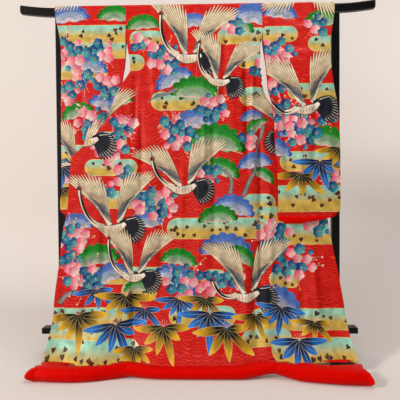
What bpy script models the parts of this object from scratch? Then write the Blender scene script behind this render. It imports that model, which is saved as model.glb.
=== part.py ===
"""Uchikake wedding kimono, back side out, hung over the top rail of a lacquered kimono rack.

Units are metres, Z is up and the viewer stands on the -Y side, where the garment's back shows.
The garment is opened out flat: both fronts swing outwards from the side seams, turn over at a
slanting fold, and run up behind the back to the far side of the rail. The left front lies over
the left sleeve, and the right sleeve hangs over the right front.
"""

import math

import bpy
import numpy as np
from mathutils import Vector

# Rack
RAIL_LENGTH = 1.680
RAIL_HEIGHT = 0.039
RAIL_DEPTH = 0.034
RAIL_TOP = 1.680
RAIL_END_RUN = 0.160
RAIL_END_RISE = 0.015
RAIL_ROUND = 0.007
RAIL_TUCK = 0.003
POST_OUTER_SPACING = 1.346
POST_WIDTH = 0.038
POST_DEPTH = 0.032
POST_ROUND = 0.004
STRETCHER_LENGTH = 1.512
STRETCHER_HEIGHT = 0.029
STRETCHER_DEPTH = 0.055
STRETCHER_TOP = 0.149
FOOT_LENGTH = 0.440
FOOT_WIDTH = 0.094
JOINT_GAP = 0.0003

# Garment
WALL = 0.0020
COLLAR_WALL = 0.0032
SEAM_GAP = 0.0003
COLLAR_WIDTH = 0.055
NECK_HALF = 0.090
SEAM_TOP = 1.373
COLLAR_START = 0.672
TIP_HEIGHT = 1.420
TIP_WIDTH = 0.0030
FOLD_START = 0.955
SLANT_START = 0.730
SHIFT_TOP = 1.20
RIDGE_CLEAR = 0.0048
RIDGE_FLAT = 0.0115
RIDGE_ROUND = 0.010
NAPE_RISE = 0.004
SLEEVE_BOTTOM = 0.693
SLEEVE_CORNER = 0.035
SLEEVE_LIPS = 0.0017
OUTER_LIPS = 0.0012
CUFF_BOTTOM = 1.400
LIP_WALL = 0.0040
RING_ANGLES = (8, 50, 88, 125, 155, 205, 250, 290, 325)
FLAT_ANGLES = (155, 205)
CLOTH_TOP = RAIL_TOP + RIDGE_CLEAR

LEFT, RIGHT = -1, 1


def table(columns, *rows):
    """A short table: the columns' names, then a row for each section, the first column rising."""
    numbers = np.array(rows, float)
    return {name: numbers[:, place] for place, name in enumerate(columns.split())}


def read(source, column, at):
    """Smooth value of a column between its rows, with no overshoot past either of them."""
    keys = source[next(iter(source))]
    values = source[column]
    at = min(max(at, keys[0]), keys[-1])
    place = min(max(int(np.searchsorted(keys, at)) - 1, 0), len(keys) - 2)
    slopes = np.diff(values) / np.diff(keys)

    def tangent(row):
        if row in (0, len(keys) - 1):
            return slopes[0] if row == 0 else slopes[-1]
        before, after = slopes[row - 1], slopes[row]
        return 0.0 if before * after <= 0 else 2 * before * after / (before + after)

    run = keys[place + 1] - keys[place]
    part = (at - keys[place]) / run
    return float(
        values[place] * (1 + 2 * part) * (1 - part) ** 2
        + values[place + 1] * part**2 * (3 - 2 * part)
        + tangent(place) * run * part * (1 - part) ** 2
        - tangent(place + 1) * run * part**2 * (1 - part)
    )


# How far forward of the rack's middle the back hangs, and the fronts' hidden part behind it
DRAPE = table(
    "height back hidden",
    (0.050, -0.205, -0.150),
    (0.075, -0.185, -0.150),
    (0.100, -0.160, -0.140),
    (0.140, -0.140, -0.125),
    (0.200, -0.123, -0.110),
    (0.280, -0.109, -0.098),
    (0.380, -0.098, -0.088),
    (0.500, -0.089, -0.079),
    (0.650, -0.081, -0.071),
    (0.800, -0.075, -0.065),
    (0.950, -0.069, -0.059),
    (1.100, -0.063, -0.052),
    (1.250, -0.057, -0.045),
    (1.373, -0.050, -0.037),
    (1.420, -0.047, -0.029),
    (1.490, -0.041, -0.010),
    (1.560, -0.0345, 0.008),
    (1.601, -0.0290, 0.017),
    (1.640, -0.0235, 0.0215),
    (1.674, -0.0215, 0.0215),
)

# Distances from the centre back: side seam, width of the front, outer edge or slanting fold
LEFT_HALF = table(
    "height side front_width edge",
    (0.050, 0.289, 0.246, 0.686),
    (0.090, 0.288, 0.246, 0.688),
    (0.125, 0.278, 0.251, 0.684),
    (0.210, 0.264, 0.257, 0.667),
    (0.310, 0.260, 0.250, 0.662),
    (0.470, 0.259, 0.227, 0.643),
    (0.627, 0.258, 0.208, 0.625),
    (0.705, 0.258, 0.199, 0.606),
    (0.850, 0.257, 0.178, 0.595),
    (0.955, 0.260, 0.159, 0.585),
    (0.993, 0.261, 0.157, 0.546),
    (1.066, 0.264, 0.154, 0.478),
    (1.140, 0.270, 0.148, 0.413),
    (1.242, 0.285, 0.175, 0.376),
    (1.300, 0.294, 0.195, 0.346),
    (1.373, 0.307, 0.212, 0.307),
    (1.420, 0.314, 0.222, 0.314),
    (1.490, 0.325, 0.235, 0.325),
    (1.560, 0.333, 0.243, 0.333),
    (1.684, 0.333, 0.243, 0.333),
)
RIGHT_HALF = table(
    "height side front_width edge",
    (0.050, 0.271, 0.280, 0.699),
    (0.090, 0.271, 0.275, 0.696),
    (0.130, 0.264, 0.274, 0.688),
    (0.200, 0.250, 0.276, 0.676),
    (0.300, 0.244, 0.270, 0.665),
    (0.408, 0.245, 0.253, 0.648),
    (0.563, 0.247, 0.228, 0.619),
    (0.655, 0.248, 0.213, 0.603),
    (0.850, 0.248, 0.183, 0.588),
    (0.955, 0.249, 0.170, 0.585),
    (0.993, 0.250, 0.167, 0.546),
    (1.066, 0.251, 0.162, 0.478),
    (1.135, 0.258, 0.158, 0.413),
    (1.170, 0.267, 0.160, 0.372),
    (1.205, 0.277, 0.166, 0.338),
    (1.235, 0.287, 0.172, 0.319),
    (1.260, 0.291, 0.177, 0.307),
    (1.290, 0.292, 0.183, 0.301),
    (1.330, 0.294, 0.191, 0.298),
    (1.373, 0.295, 0.200, 0.295),
    (1.420, 0.296, 0.202, 0.296),
    (1.490, 0.302, 0.210, 0.302),
    (1.560, 0.308, 0.218, 0.308),
    (1.684, 0.308, 0.218, 0.308),
)
HALF = {LEFT: LEFT_HALF, RIGHT: RIGHT_HALF}

# The overlap gusset narrows to a point above the fold
OKUMI = table(
    "height width",
    (0.955, 0.111),
    (1.070, 0.100),
    (1.140, 0.088),
    (1.250, 0.056),
    (1.373, 0.020),
    (1.420, TIP_WIDTH),
    (1.490, 0.0),
)

# Soft vertical folds of the body: place, half width, push back, and the heights they fade over
BODY_FOLDS = (
    {"x": -0.590, "half": 0.030, "push": -0.006, "low": 0.02, "high": 0.45},
    {"x": -0.480, "half": 0.032, "push": 0.006, "low": 0.02, "high": 0.50},
    {"x": -0.345, "half": 0.022, "push": 0.003, "low": 0.10, "high": 1.20},
    {"x": -0.292, "half": 0.020, "push": 0.009, "low": 0.02, "high": 0.40},
    {"x": -0.262, "half": 0.016, "push": 0.004, "low": 0.30, "high": 1.30},
    {"x": -0.215, "half": 0.024, "push": -0.004, "low": 0.10, "high": 1.35},
    {"x": -0.070, "half": 0.030, "push": 0.004, "low": 0.20, "high": 1.45},
    {"x": 0.000, "half": 0.022, "push": -0.002, "low": 0.10, "high": 1.50},
    {"x": 0.075, "half": 0.026, "push": 0.005, "low": 0.10, "high": 1.30},
    {"x": 0.165, "half": 0.026, "push": -0.003, "low": 0.10, "high": 1.45},
    {"x": 0.218, "half": 0.018, "push": -0.008, "low": 0.02, "high": 0.80},
    {"x": 0.262, "half": 0.018, "push": 0.014, "low": 0.02, "high": 0.60},
    {"x": 0.232, "half": 0.013, "push": 0.004, "low": 0.80, "high": 1.50},
    {"x": 0.310, "half": 0.024, "push": -0.010, "low": 0.02, "high": 0.50},
    {"x": 0.410, "half": 0.032, "push": 0.006, "low": 0.02, "high": 0.55},
    {"x": 0.505, "half": 0.030, "push": -0.005, "low": 0.02, "high": 0.45},
    {"x": 0.610, "half": 0.032, "push": 0.005, "low": 0.02, "high": 0.40},
)

# The padded hem: its middle and half sizes, how far it lifts off the floor, and its seam line
HEM = table(
    "x middle half_depth half_height lift seam_y seam_z",
    (-0.700, -0.268, 0.040, 0.025, 0.000, -0.202, 0.0560),
    (-0.630, -0.273, 0.045, 0.027, 0.000, -0.190, 0.0580),
    (-0.550, -0.275, 0.045, 0.026, 0.000, -0.208, 0.0545),
    (-0.470, -0.270, 0.042, 0.025, 0.000, -0.228, 0.0525),
    (-0.380, -0.252, 0.036, 0.025, 0.002, -0.210, 0.0545),
    (-0.295, -0.240, 0.031, 0.0235, 0.008, -0.200, 0.0575),
    (-0.160, -0.248, 0.031, 0.024, 0.000, -0.232, 0.0510),
    (0.000, -0.250, 0.031, 0.024, 0.000, -0.238, 0.0510),
    (0.180, -0.250, 0.031, 0.025, 0.000, -0.228, 0.0530),
    (0.250, -0.243, 0.031, 0.024, 0.008, -0.203, 0.0590),
    (0.317, -0.237, 0.031, 0.022, 0.020, -0.193, 0.0665),
    (0.370, -0.243, 0.033, 0.024, 0.012, -0.190, 0.0625),
    (0.440, -0.265, 0.038, 0.027, 0.000, -0.198, 0.0575),
    (0.540, -0.285, 0.044, 0.029, 0.000, -0.198, 0.0600),
    (0.650, -0.298, 0.048, 0.029, 0.000, -0.183, 0.0610),
    (0.710, -0.300, 0.048, 0.028, 0.000, -0.203, 0.0580),
)
HEM_TIPS = table(
    "step out_left forward_left out_right forward_right size",
    (1, 0.022, 0.010, 0.012, 0.018, 0.88),
    (2, 0.040, 0.020, 0.020, 0.036, 0.64),
    (3, 0.050, 0.028, 0.024, 0.050, 0.25),
)

# Sleeves: inner and outer edge, depth of the wall that faces the viewer and of the far wall
SLEEVE = {
    LEFT: table(
        "height inner outer near far",
        (0.693, 0.360, 0.652, -0.050, -0.031),
        (0.765, 0.360, 0.651, -0.050, -0.031),
        (0.812, 0.360, 0.644, -0.049, -0.030),
        (1.001, 0.360, 0.643, -0.047, -0.029),
        (1.140, 0.358, 0.644, -0.043, -0.027),
        (1.305, 0.352, 0.642, -0.038, -0.025),
        (1.420, 0.335, 0.639, -0.038, -0.024),
        (1.490, 0.333, 0.640, -0.038, -0.010),
        (1.560, 0.333, 0.650, -0.0345, 0.008),
        (1.601, 0.333, 0.660, -0.0290, 0.017),
        (1.640, 0.333, 0.668, -0.0235, 0.0215),
        (1.674, 0.333, 0.671, -0.0215, 0.0215),
    ),
    RIGHT: table(
        "height inner outer near far",
        (0.693, 0.367, 0.654, -0.103, -0.083),
        (0.800, 0.369, 0.654, -0.100, -0.080),
        (0.985, 0.359, 0.654, -0.095, -0.075),
        (1.079, 0.355, 0.652, -0.091, -0.072),
        (1.189, 0.348, 0.645, -0.086, -0.068),
        (1.273, 0.328, 0.631, -0.080, -0.062),
        (1.384, 0.320, 0.621, -0.068, -0.045),
        (1.420, 0.316, 0.620, -0.062, -0.034),
        (1.490, 0.310, 0.621, -0.047, -0.010),
        (1.560, 0.308, 0.633, -0.0345, 0.008),
        (1.601, 0.308, 0.640, -0.0290, 0.017),
        (1.640, 0.308, 0.646, -0.0235, 0.0215),
        (1.674, 0.308, 0.647, -0.0215, 0.0215),
    ),
}
FAR_OUTER = table(
    "height outer",
    (1.370, 0.643),
    (1.420, 0.630),
    (1.601, 0.630),
    (1.640, 0.642),
    (1.674, 0.645),
)
SLEEVE_FOLDS = (
    {"x": 0.430, "half": 0.026, "push": 0.004, "low": 0.70, "high": 1.52},
    {"x": 0.500, "half": 0.030, "push": -0.003, "low": 0.70, "high": 1.50},
    {"x": 0.580, "half": 0.024, "push": 0.003, "low": 0.72, "high": 1.50},
)
BAND = table(
    "part height",
    (0.00, 0.026),
    (0.12, 0.038),
    (0.26, 0.045),
    (0.50, 0.036),
    (0.75, 0.024),
    (0.90, 0.010),
    (0.95, 0.004),
)
BAND_HALF_THICK = 0.007

# The collar round the neck: its sewn edge and free edge, across and down the cloth from the ridge
NECK = table(
    "step seam_x seam_down edge_x edge_down",
    (0, 0.0897, 0.1000, 0.0350, 0.1000),
    (1, 0.0897, 0.0612, 0.0350, 0.0860),
    (2, 0.0897, 0.0272, 0.0335, 0.0720),
    (3, 0.0897, 0.0194, 0.0318, 0.0660),
    (4, 0.0897, 0.0115, 0.0300, 0.0610),
    (5, 0.0897, 0.0003, 0.0260, 0.0560),
    (6, 0.0700, 0.0003, 0.0210, 0.0510),
    (7, 0.0450, 0.0003, 0.0140, 0.0475),
    (8, 0.0220, 0.0003, 0.0070, 0.0458),
    (9, 0.0000, 0.0003, 0.0000, 0.0450),
)

HEM_LEVEL = 0.062
HEM_REACH = 0.300
LOW_LEVELS = (HEM_LEVEL, 0.070, 0.084, 0.105, 0.135, 0.175, 0.225, 0.285, 0.350, 0.420, 0.490, 0.560, 0.620)
COLLAR_LEVELS = (COLLAR_START - 0.004, COLLAR_START)
SLANT_LEVELS = (SLANT_START, 0.79, 0.85, 0.91, 0.97, 1.03, 1.09, 1.15, 1.21, 1.26, 1.31, SEAM_TOP)
LEVELS = LOW_LEVELS + COLLAR_LEVELS + SLANT_LEVELS
UPPER_LEVELS = (TIP_HEIGHT, 1.490, 1.560, 1.6012, 1.640, CLOTH_TOP - RIDGE_ROUND)
BACK_COLUMNS = np.linspace(0.0, 1.0, 8)
FRONT_COLUMNS = np.array([0.0, 0.08, 0.22, 0.41, 0.61, 0.81, 1.0])
OKUMI_COLUMNS = np.linspace(0.0, 1.0, 4)
COLLAR_COLUMNS = np.linspace(0.0, 1.0, 3)
NECK_COLUMNS = np.array([0.0, 0.2, 0.4, 0.7, 1.0])
SLEEVE_COLUMNS = np.array([0.0, 0.16, 0.34, 0.52, 0.70, 0.86, 0.95, 1.0])
SLEEVE_STEPS = (0, 0.02, 0.06, 0.13, 0.22, 0.32, 0.43, 0.54, 0.65, 0.77, 0.89)
TURN_ANGLES = (45, 90, 135, 180)
HIDDEN_STEPS = (0.06, 0.15, 0.28, 0.46, 0.66, 0.84, 1.0)
TURN_IN = 1.8
TURN_IN_NEAR = 2.2
TURN_IN_REACH = 0.050

COLOURS = {
    "silk": ((0.72, 0.02, 0.01), 0.45, 0.0),
    "lining": ((0.62, 0.01, 0.01), 0.50, 0.0),
    "lacquer": ((0.006, 0.006, 0.007), 0.25, 0.0),
}


def material(name):
    """The plain finish of a piece, made once and shared by the pieces that have it."""
    if name in bpy.data.materials:
        return bpy.data.materials[name]
    colour, roughness, metallic = COLOURS[name]
    made = bpy.data.materials.new(name)
    made.use_nodes = True
    shader = made.node_tree.nodes["Principled BSDF"]
    shader.inputs["Base Color"].default_value = (*colour, 1.0)
    shader.inputs["Roughness"].default_value = roughness
    shader.inputs["Metallic"].default_value = metallic
    return made


def make_object(name, points, faces, finish):
    """A named closed mesh with its own finish, its faces turned outwards."""
    corners = np.array(points)[np.array(faces)]
    volume = np.einsum("ij,ij->", corners[:, 0], np.cross(corners[:, 1], corners[:, 2]))
    if volume < 0:
        faces = [face[::-1] for face in faces]
    mesh = bpy.data.meshes.new(name)
    mesh.from_pydata([tuple(point) for point in points], [], faces)
    mesh.validate()
    mesh.materials.append(material(finish))
    made = bpy.data.objects.new(name, mesh)
    bpy.context.collection.objects.link(made)
    return made


def grid_normals(grid, looped=False):
    """Unit normals of a grid of points, rows first."""
    if looped:
        down = np.roll(grid, -1, axis=0) - np.roll(grid, 1, axis=0)
    else:
        down = np.gradient(grid, axis=0)
    across = np.gradient(grid, axis=1)
    normals = np.cross(across, down)
    return normals / np.linalg.norm(normals, axis=2, keepdims=True)


def wall(name, grid, normals, thick, finish, looped=False):
    """A closed wall of even thickness round a grid of middle points, rows first."""
    rows, columns = grid.shape[:2]
    front = (grid + normals * thick / 2).reshape(-1, 3)
    back = (grid - normals * thick / 2).reshape(-1, 3)
    points = np.concatenate([front, back])
    other = rows * columns
    faces = []

    def quad(a, b, c, d):
        faces.append((a, b, c))
        faces.append((a, c, d))

    last_row = rows if looped else rows - 1
    for row in range(last_row):
        after = (row + 1) % rows
        for column in range(columns - 1):
            a, b = row * columns + column, row * columns + column + 1
            d, c = after * columns + column, after * columns + column + 1
            quad(a, b, c, d)
            faces.append((other + a, other + c, other + b))
            faces.append((other + a, other + d, other + c))
        start, end = row * columns, after * columns
        quad(start, end, other + end, other + start)
        start, end = start + columns - 1, end + columns - 1
        quad(start, other + start, other + end, end)
    if not looped:
        for column in range(columns - 1):
            quad(column, other + column, other + column + 1, column + 1)
            a = (rows - 1) * columns + column
            quad(a, a + 1, other + a + 1, other + a)
    return make_object(name, points, faces, finish)


def part_columns(grid, first, last):
    """Move a grid's first and last column inwards by half a seam's gap where asked."""
    moved = grid.copy()
    for wanted, edge, inner in ((first, 0, 1), (last, -1, -2)):
        if wanted:
            inward = grid[:, inner] - grid[:, edge]
            inward /= np.linalg.norm(inward, axis=1, keepdims=True)
            moved[:, edge] += inward * SEAM_GAP / 2
    return moved


def join_normals(first, first_column, second, second_column, rows):
    """Give both sides of a seam the same normals, so that their edges stay parallel."""
    shared = first[rows, first_column] + second[rows, second_column]
    shared /= np.linalg.norm(shared, axis=1, keepdims=True)
    first[rows, first_column] = shared
    second[rows, second_column] = shared


def fade(value, low, high):
    """A smooth step from 0 at low to 1 at high."""
    part = min(max((value - low) / (high - low), 0.0), 1.0)
    return part * part * (3 - 2 * part)


def folds(rows, x, height):
    """Sum of the soft folds at a place on the cloth, positive away from the viewer."""
    total = 0.0
    for fold in rows:
        span = fold["high"] - fold["low"]
        window = fade(height, fold["low"], fold["low"] + 0.3 * span)
        window *= 1 - fade(height, fold["high"] - 0.4 * span, fold["high"])
        total += fold["push"] * math.exp(-(((x - fold["x"]) / fold["half"]) ** 2)) * window
    return total


def side_shift(side, x):
    """The right front lies further back, under its sleeve, and the left one over its sleeve."""
    amount = 0.012 if side == RIGHT else -0.006
    return amount * fade(abs(x), 0.24, 0.34)


def body_point(side, x, height, layer="back"):
    """A point of the body's cloth, x being the signed distance from the centre back."""
    shift = side_shift(side, x) * (1 - fade(height, SHIFT_TOP, SEAM_TOP))
    y = read(DRAPE, layer, height) + folds(BODY_FOLDS, x, height) + shift
    at_hem = read(DRAPE, "back", HEM_LEVEL) + folds(BODY_FOLDS, x, HEM_LEVEL) + shift
    y += (1 - fade(height, HEM_LEVEL, HEM_REACH)) * (read(HEM, "seam_y", x) - at_hem)
    low = 1 - fade(height, HEM_LEVEL, 0.5 * HEM_REACH)
    return np.array([x, y, height + low * (read(HEM, "seam_z", x) - HEM_LEVEL)])


def ridge_point(x, step, sign):
    """A point where the cloth bends over the rail: step 0 is its top, 3 where it hangs free."""
    if step == 0:
        return np.array([x, sign * SEAM_GAP / 2, CLOTH_TOP])
    angle = math.radians(45 * (step - 1))
    y = RIDGE_FLAT + RIDGE_ROUND * math.sin(angle)
    return np.array([x, sign * y, CLOTH_TOP - RIDGE_ROUND * (1 - math.cos(angle))])


def far_point(x, down):
    """A point on the far side of the rail, down being measured along the cloth from the ridge."""
    arc = RIDGE_ROUND * math.pi / 2
    if down <= RIDGE_FLAT:
        y, z = down, CLOTH_TOP
    elif down <= RIDGE_FLAT + arc:
        angle = (down - RIDGE_FLAT) / RIDGE_ROUND
        y = RIDGE_FLAT + RIDGE_ROUND * math.sin(angle)
        z = CLOTH_TOP - RIDGE_ROUND * (1 - math.cos(angle))
    else:
        z = CLOTH_TOP - RIDGE_ROUND - (down - RIDGE_FLAT - arc)
        y = read(DRAPE, "hidden", z)
    rise = NAPE_RISE * max(0.0, 1 - (x / NECK_HALF) ** 2) * math.exp(-(((down - 0.010) / 0.012) ** 2))
    return np.array([x, y, z + rise])


def okumi_width(side, height):
    """Width of the gusset beside the collar."""
    if height > FOLD_START:
        return read(OKUMI, "width", height)
    half = HALF[side]
    seam = read(half, "side", height) + read(half, "front_width", height)
    return read(half, "edge", height) - seam - COLLAR_WIDTH


def spread_distance(side, piece, part, height):
    """Distance from the centre back of a thread of a front piece, as if it were not folded over."""
    half = HALF[side]
    start, width = read(half, "side", height), read(half, "front_width", height)
    if piece == "front":
        return start + part * width
    start += width
    width = okumi_width(side, height)
    if piece == "okumi":
        if height < COLLAR_START - 0.001:
            width = read(half, "edge", height) - start
        return start + part * width
    return start + width + part * COLLAR_WIDTH


def fold_height(side, piece, part):
    """Height at which a thread of a front piece reaches the slanting fold."""
    low, high = FOLD_START, SEAM_TOP
    for _ in range(40):
        middle = (low + high) / 2
        inside = spread_distance(side, piece, part, middle) < read(HALF[side], "edge", middle)
        low, high = (middle, high) if inside else (low, middle)
    return (low + high) / 2


def front_pieces(side):
    """Grids of the front, the gusset and the collar's side strip: rows from hem to neck."""
    threads = [("front", part) for part in FRONT_COLUMNS]
    threads += [("okumi", part) for part in OKUMI_COLUMNS]
    threads += [("collar", part) for part in COLLAR_COLUMNS]
    tops = [fold_height(side, *thread) for thread in threads]
    crest = np.array([[spread_distance(side, *thread, top), top] for thread, top in zip(threads, tops)])
    along = np.gradient(crest, axis=0)
    for seam in (len(FRONT_COLUMNS), len(FRONT_COLUMNS) + len(OKUMI_COLUMNS)):
        along[seam - 1 : seam + 1] = along[seam - 1] + along[seam]
    along /= np.linalg.norm(along, axis=1, keepdims=True)
    lines = []
    for thread, top, (crest_x, crest_z), (run_x, run_z) in zip(threads, tops, crest, along):
        line = []
        for level in LEVELS:
            height = level
            if level > SLANT_START:
                share = (level - SLANT_START) / (SEAM_TOP - SLANT_START)
                height = SLANT_START + share * (top - SLANT_START)
            line.append(body_point(side, side * spread_distance(side, *thread, height), height))
        near = body_point(side, side * crest_x, crest_z)
        far = body_point(side, side * crest_x, crest_z, "hidden")
        radius = (far[1] - near[1]) / 2
        for angle in TURN_ANGLES:
            out = radius * math.sin(math.radians(angle))
            y = near[1] + radius * (1 - math.cos(math.radians(angle)))
            line.append(np.array([side * (crest_x - out * run_z), y, crest_z + out * run_x]))
        from_side = crest_x - read(HALF[side], "side", top)
        power = TURN_IN + TURN_IN_NEAR * math.exp(-from_side / TURN_IN_REACH)
        goal = hidden_x(side, thread, TIP_HEIGHT)
        for step in HIDDEN_STEPS:
            x = crest_x + (goal - crest_x) * (1 - (1 - step) ** power)
            line.append(body_point(side, side * x, top + (TIP_HEIGHT - top) * step, "hidden"))
        if thread[0] != "okumi":
            line += [upper_point(side, thread, height) for height in UPPER_LEVELS[1:4]]
        if thread[0] == "front":
            line += [upper_point(side, thread, height) for height in UPPER_LEVELS[4:]]
            x = side * hidden_x(side, thread, CLOTH_TOP)
            line += [ridge_point(x, step, 1) for step in (2, 1, 0)]
        lines.append(line)
    ends = (0, len(FRONT_COLUMNS), len(FRONT_COLUMNS) + len(OKUMI_COLUMNS), len(threads))
    return [np.array(lines[a:b]).transpose(1, 0, 2) for a, b in zip(ends, ends[1:])]


def hidden_x(side, thread, height):
    """Distance from the centre back of a front's thread where it hangs behind the back."""
    return 2 * read(HALF[side], "edge", height) - spread_distance(side, *thread, height)


def upper_point(side, thread, height):
    """A point of a front piece between the top of its gusset and the rail."""
    return body_point(side, side * hidden_x(side, thread, height), height, "hidden")


def back_grid(side):
    """Grid of one half of the back: rows from hem to ridge, columns from centre to side seam."""
    rows = []
    for height in LEVELS + UPPER_LEVELS:
        width = read(HALF[side], "side", height)
        rows.append([body_point(side, side * part * width, height) for part in BACK_COLUMNS])
    width = read(HALF[side], "side", CLOTH_TOP)
    for step in (2, 1, 0):
        rows.append([ridge_point(side * part * width, step, -1) for part in BACK_COLUMNS])
    return np.array(rows)


def viewer_side(grid, side):
    """Normals of a body grid that face the viewer whichever way its columns run."""
    return grid_normals(grid) * side


def body():
    """Both backs, fronts and gussets, and the collar that joins them round the neck."""
    collar_strips = {}
    hem_rows = {}
    backs = {side: back_grid(side) for side in (LEFT, RIGHT)}
    back_normals = {side: viewer_side(backs[side], side) for side in (LEFT, RIGHT)}
    join_normals(back_normals[LEFT], 0, back_normals[RIGHT], 0, slice(None))
    for side, word in ((LEFT, "left"), (RIGHT, "right")):
        front, okumi, collar = front_pieces(side)
        front_normals, okumi_normals = viewer_side(front, side), viewer_side(okumi, side)
        collar_first = len(LOW_LEVELS) + 1
        collar = collar[collar_first:]
        collar_normals = viewer_side(collar, side)
        seam_rows = slice(0, len(LEVELS))
        join_normals(back_normals[side], -1, front_normals, 0, seam_rows)
        join_normals(front_normals, -1, okumi_normals, 0, slice(0, len(okumi)))
        shared = len(okumi) - collar_first
        trimmed = okumi_normals[collar_first:]
        join_normals(trimmed, -1, collar_normals, 0, slice(0, shared))
        above = front_normals[collar_first:]
        join_normals(above, -1, collar_normals, 0, slice(shared, len(collar)))
        hem_rows[side] = [
            (grid[0], grid[1], normals[0])
            for grid, normals in (
                (backs[side], back_normals[side]),
                (front, front_normals),
                (okumi, okumi_normals),
            )
        ]
        wall(f"back_{word}", part_columns(backs[side], True, True), back_normals[side], WALL, "silk")
        wall(f"front_{word}", part_columns(front, True, True), front_normals, WALL, "silk")
        okumi_moved = part_columns(okumi, True, False)
        okumi_moved[collar_first:, -1] = part_columns(okumi, False, True)[collar_first:, -1]
        wall(f"okumi_{word}", okumi_moved, okumi_normals, WALL, "silk")
        collar[0, :, 2] += SEAM_GAP
        collar_strips[side] = (part_columns(collar, True, False), collar_normals)
    make_collar(collar_strips)
    return hem_rows


def neck_row(step, side):
    """One row of the collar where it goes round the neck."""
    seam = (read(NECK, "seam_x", step), read(NECK, "seam_down", step))
    edge = (read(NECK, "edge_x", step), read(NECK, "edge_down", step))
    row = []
    for part in NECK_COLUMNS:
        x = seam[0] + part * (edge[0] - seam[0])
        down = seam[1] + part * (edge[1] - seam[1])
        row.append(far_point(side * x, down))
    return np.array(row)


def widen(grid):
    """Give a collar strip as many columns as the neck's rows have."""
    rows = []
    for row in grid:
        axes = [np.interp(NECK_COLUMNS, COLLAR_COLUMNS, row[:, axis]) for axis in range(3)]
        rows.append(np.stack(axes, axis=1))
    return np.array(rows)


def make_collar(strips):
    """One collar: up the left strip, round the nape and down the right strip."""
    steps = len(NECK["step"]) - 1
    left_rows = [row for row in widen(strips[LEFT][0])]
    left_rows += [neck_row(step, LEFT) for step in range(1, steps)]
    right_rows = [row for row in widen(strips[RIGHT][0])]
    right_rows += [neck_row(step, RIGHT) for step in range(1, steps)]
    grid = np.array(left_rows + [neck_row(steps, LEFT)] + right_rows[::-1])
    normals = -grid_normals(grid)
    for side, rows in ((LEFT, normals), (RIGHT, normals[::-1])):
        kept = widen(strips[side][1])[:-2]
        rows[: len(kept)] = kept / np.linalg.norm(kept, axis=2, keepdims=True)
    wall("collar", grid, normals, COLLAR_WALL, "silk")


def sleeve_x(side, part, height, far):
    """Distance from the centre of a thread of a sleeve's near or far wall."""
    inner = read(SLEEVE[side], "inner", height)
    outer = read(SLEEVE[side], "outer", height)
    if far and height > CUFF_BOTTOM - 0.03:
        outer = min(outer, read(FAR_OUTER, "outer", height))
    return side * (inner + SEAM_GAP / 2 + part * (outer - inner))


def sleeve_low(side, part):
    """Height of a sleeve's lower edge, which rounds up at the outer corner."""
    width = read(SLEEVE[side], "outer", SLEEVE_BOTTOM) - read(SLEEVE[side], "inner", SLEEVE_BOTTOM)
    over = part * width - (width - SLEEVE_CORNER)
    if over <= 0:
        return SLEEVE_BOTTOM
    return SLEEVE_BOTTOM + SLEEVE_CORNER - math.sqrt(max(SLEEVE_CORNER**2 - over**2, 0.0))


def sleeve_point(side, part, height, far):
    """A point of a sleeve's wall, the two walls drawing together at the outer seam and below."""
    near_y, far_y = read(SLEEVE[side], "near", height), read(SLEEVE[side], "far", height)
    middle, half = (near_y + far_y) / 2, (far_y - near_y) / 2
    open_cuff = fade(height, CUFF_BOTTOM, CUFF_BOTTOM + 0.06)
    full = 1 - (1 - open_cuff) * part**5
    full *= 1 - math.exp(-max(height - sleeve_low(side, part), 0.0) / 0.025)
    lips = SLEEVE_LIPS + (OUTER_LIPS - SLEEVE_LIPS) * part**5
    half = lips + (half - lips) * full
    x = sleeve_x(side, part, height, far)
    bend = folds(SLEEVE_FOLDS, abs(x), height) * (1 - part**5)
    return np.array([x, middle + (half if far else -half) + bend, height])


def sleeve(side, word):
    """A sleeve as one looped cloth: down the near wall, round the lower seam, up the far wall."""
    lines = []
    for part in SLEEVE_COLUMNS:
        low = sleeve_low(side, part)
        steps = [low + (TIP_HEIGHT - low) * step for step in SLEEVE_STEPS]
        heights = [*UPPER_LEVELS[::-1], *steps[::-1]]
        near_top = sleeve_x(side, part, CLOTH_TOP - RIDGE_ROUND, False)
        far_top = sleeve_x(side, part, CLOTH_TOP - RIDGE_ROUND, True)
        line = [ridge_point((near_top + far_top) / 2, 0, 1)]
        line += [ridge_point(near_top, step, -1) for step in (1, 2)]
        line += [sleeve_point(side, part, height, False) for height in heights]
        bottom = sleeve_point(side, part, low, False) / 2 + sleeve_point(side, part, low, True) / 2
        line.append(bottom - np.array([0.0, 0.0, SLEEVE_LIPS]))
        line += [sleeve_point(side, part, height, True) for height in heights[::-1]]
        line += [ridge_point(far_top, step, 1) for step in (2, 1)]
        lines.append(line)
    grid = np.array(lines).transpose(1, 0, 2)
    wall(f"sleeve_{word}", grid, grid_normals(grid, looped=True), WALL, "silk", looped=True)
    band(side, word)


def band(side, word):
    """The red lining that rolls out under a sleeve's lower edge, as a flat padded roll."""
    stations = []
    top = SLEEVE_BOTTOM - SLEEVE_LIPS - WALL / 2 - SEAM_GAP
    sides = 10
    for part in BAND["part"]:
        height = read(BAND, "height", part)
        centre = sleeve_point(side, part, SLEEVE_BOTTOM, False) / 2
        centre += sleeve_point(side, part, SLEEVE_BOTTOM, True) / 2
        thick = BAND_HALF_THICK * min(1.0, height / 0.024)
        rise = max(sleeve_low(side, part) - SLEEVE_BOTTOM - 0.002, 0.0)
        ring = []
        for step in range(sides):
            angle = 2 * math.pi * step / sides
            z = top + rise - height / 2 + height / 2 * math.cos(angle)
            ring.append((centre[0], centre[1] - thick * math.sin(angle), z))
        stations.append(ring)
    loft(f"sleeve_band_{word}", np.array(stations), "lining")


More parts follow.
